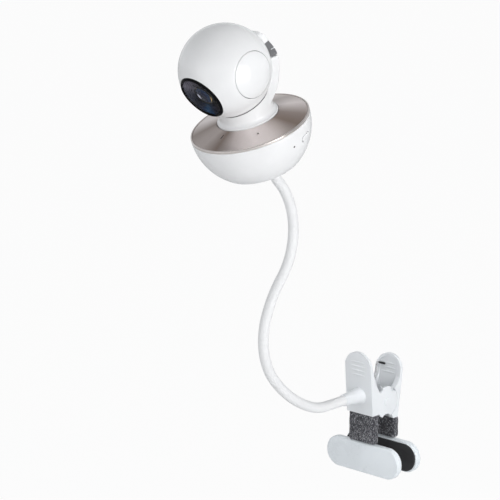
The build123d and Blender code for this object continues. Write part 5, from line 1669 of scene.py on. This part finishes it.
    def spring(self) -> None:
        """Torsion spring: coil with its front leg on the clip, and its rear leg on the rear jaw."""
        span, spans = self.coil_span, self.turns * self.turn_steps
        coil, radius = [], self.spring_radius
        for k in range(spans + 1):
            turn = 2 * pi * k / self.turn_steps
            coil.append((span / 2 - span * k / spans, -radius * cos(turn), radius * sin(turn)))
        self.wire_piece("spring_coil", self.leg(-1)[::-1] + coil, Body.CLIP, "torsion_spring")
        self.wire_piece("spring_rear_leg", self.leg(1), Body.REAR_JAW)
        pivot = Vector((0, self.pivot_y, self.pivot_height))
        for rear in (False, True):
            _, word, body = self.who(rear)
            knee, tip = (Vector(spot) for spot in self.leg(1 if rear else -1)[-2:])
            run = (tip - knee).normalized()
            start = knee + run * 1.0
            turn = run.to_track_quat("Z", "Y").to_matrix().to_4x4()
            place = ROW_SPACE @ Matrix.Translation(start + pivot) @ turn
            long, wide = (tip - start).length + 0.5, self.wire / 2 + self.tip_sleeve
            outline = rounded([(0, 0), (wide, 0), (wide, long), (0, long)], [0, 0.2, 0.4, 0], closed=False)
            dress(lathe(f"spring_tip_{word}", outline, place, 32), MATTE_BLACK, body, angle=50)

    def build(self) -> None:
        """Make all of the clip."""
        tree = row_tree()
        for rear in (False, True):
            self.jaw(rear)
            self.grip_rows(rear, tree)
            self.pad(rear)
            self.sleeve(rear)
        self.spring()
        pin = rounded(list(self.pin), [0, 0.4, 0, 0, 0, 0, 0.4, 0], closed=False)
        place = ROW_SPACE @ Matrix.Translation((0, self.pivot_y, self.pivot_height)) @ ABOUT_X
        dress(lathe("pivot_pin_caps", pin, place, 96), SATIN_WHITE, Body.CLIP, "pivot_pin", angle=40)


# ---- Studio ---------------------------------------------------------------------------------------
@dataclass(frozen=True)
class Lamp:
    """Lamp that looks at a point, with its settings."""

    name: str
    kind: str
    place: Space
    aim: Space
    power: float
    settings: tuple[tuple[str, object], ...]
    glossy: bool = True

    def build(self) -> None:
        """Put the lamp in the scene."""
        data = bpy.data.lights.new(self.name, self.kind)
        data.energy = self.power
        for key, value in self.settings:
            setattr(data, key, value)
        holder = new_object(self.name, data)
        away = (Vector(self.place) - Vector(self.aim)).to_track_quat("Z", "Y")
        holder.matrix_world = Matrix.Translation(self.place) @ away.to_matrix().to_4x4()
        holder.visible_glossy = self.glossy


@dataclass
class Studio:
    """Camera, lamps, floor and white surroundings."""

    azimuth: float = 43.2
    elevation: float = 12.0
    eye: Space = (0.9643, -1.1833, 0.5158)
    lens: float = 125.7
    floor_height: float = -0.12
    floor_half: float = 30.0
    floor_white: float = 0.94
    ambient: float = 0.78
    ceiling: float = 0.36
    lamps: tuple[Lamp, ...] = (
        Lamp("key", "AREA", (1.5, -0.30, 0.15), (0, -0.1, 0.2), 16.0, (("shape", "SQUARE"), ("size", 1.1))),
        Lamp("fill", "AREA", (-0.3, -1.6, 0.25), (0, -0.1, 0.2), 3.0, (("shape", "SQUARE"), ("size", 1.1))),
        Lamp(
            "clip_spot", "SPOT", (0.12, -0.26, 0.95), (0.015, 0.035, 0.06), 30.0,
            (("spot_size", radians(9.5)), ("spot_blend", 0.6), ("shadow_soft_size", 0.12)), glossy=False,
        ),
    )

    def camera(self) -> None:
        """Camera at the viewing angle, with its frame centred on the view axis."""
        a, e = radians(self.azimuth), radians(self.elevation)
        right = Vector((cos(a), sin(a), 0))
        up = Vector((-sin(a) * sin(e), cos(a) * sin(e), cos(e)))
        back = Vector((sin(a) * cos(e), -cos(a) * cos(e), sin(e)))
        data = bpy.data.cameras.new("camera")
        data.lens, data.sensor_width, data.clip_start = self.lens, 36.0, 0.01
        holder = new_object("camera", data)
        holder.matrix_world = Matrix.Translation(self.eye) @ Matrix((right, up, back)).transposed().to_4x4()
        bpy.context.scene.camera = holder

    def white_to_camera(self, tree: Tree, kind: str, share: float) -> None:
        """Lay plain white over a tree's own shader for rays that show it directly or through glass.

        Args:
            tree: Tree of the world or of the floor's material.
            kind: Type of the white shader node.
            share: Share of white that such a ray sees.
        """
        output = next(node for node in tree.tree.nodes if node.type.startswith("OUTPUT"))
        lit = output.inputs["Surface"].links[0].from_socket
        path = tree.add("ShaderNodeLightPath").outputs
        seen = tree.math("MAXIMUM", path["Is Camera Ray"], path["Is Transmission Ray"])
        white = tree.add(kind, Color=(1, 1, 1, 1), Strength=1.0)
        blend = tree.add("ShaderNodeMixShader", Fac=tree.math("MULTIPLY", seen, share))
        tree.feed(blend.inputs[1], lit)
        tree.feed(blend.inputs[2], white.outputs[0])
        tree.put(output, Surface=blend.outputs[0])

    def surroundings(self) -> None:
        """White world and a pale floor that keeps the object's shadow."""
        world = bpy.data.worlds.new("studio")
        bpy.context.scene.world = world
        world.use_nodes = True
        base = world.node_tree.nodes["Background"]
        base.inputs["Color"].default_value = (0.96, 0.98, 1.0, 1)
        tree = Tree(world.node_tree)
        height = tree.parts(tree.add("ShaderNodeTexCoord").outputs["Generated"])[2]
        dim = tree.add(
            "ShaderNodeMapRange", Value=height, From_Min=0.25, From_Max=1.0, To_Min=self.ambient,
            To_Max=self.ambient * self.ceiling,
        )
        tree.put(base, Strength=dim.outputs["Result"])
        self.white_to_camera(tree, "ShaderNodeBackground", 1.0)
        mesh = bpy.data.meshes.new("floor")
        corners = [(x, y, self.floor_height) for x, y in box((self.floor_half, self.floor_half))]
        mesh.from_pydata(corners, [], [(0, 1, 2, 3)])
        floor = new_object("floor", mesh)
        paint = bpy.data.materials.new("pale_floor")
        paint.use_nodes = True
        shader = paint.node_tree.nodes["Principled BSDF"]
        shader.inputs["Base Color"].default_value = (0.93, 0.93, 0.93, 1)
        shader.inputs["Roughness"].default_value = 0.9
        self.white_to_camera(Tree(paint.node_tree), "ShaderNodeEmission", self.floor_white)
        floor.data.materials.append(paint)

    def build(self) -> None:
        """Set up the whole studio."""
        self.camera()
        self.surroundings()
        for lamp in self.lamps:
            lamp.build()
        bpy.context.scene.view_settings.view_transform = "Standard"


def main() -> None:
    """Build every sub-assembly in order, then the studio."""
    logging.basicConfig(level=logging.INFO, format="%(name)s %(message)s")
    for part in (RailClip(), BendableNeck(), RoundBase(), Yoke(), CameraBall(), Studio()):
        part.build()
        LOG.info("built %s", type(part).__name__)


if __name__ == "__main__":
    main()
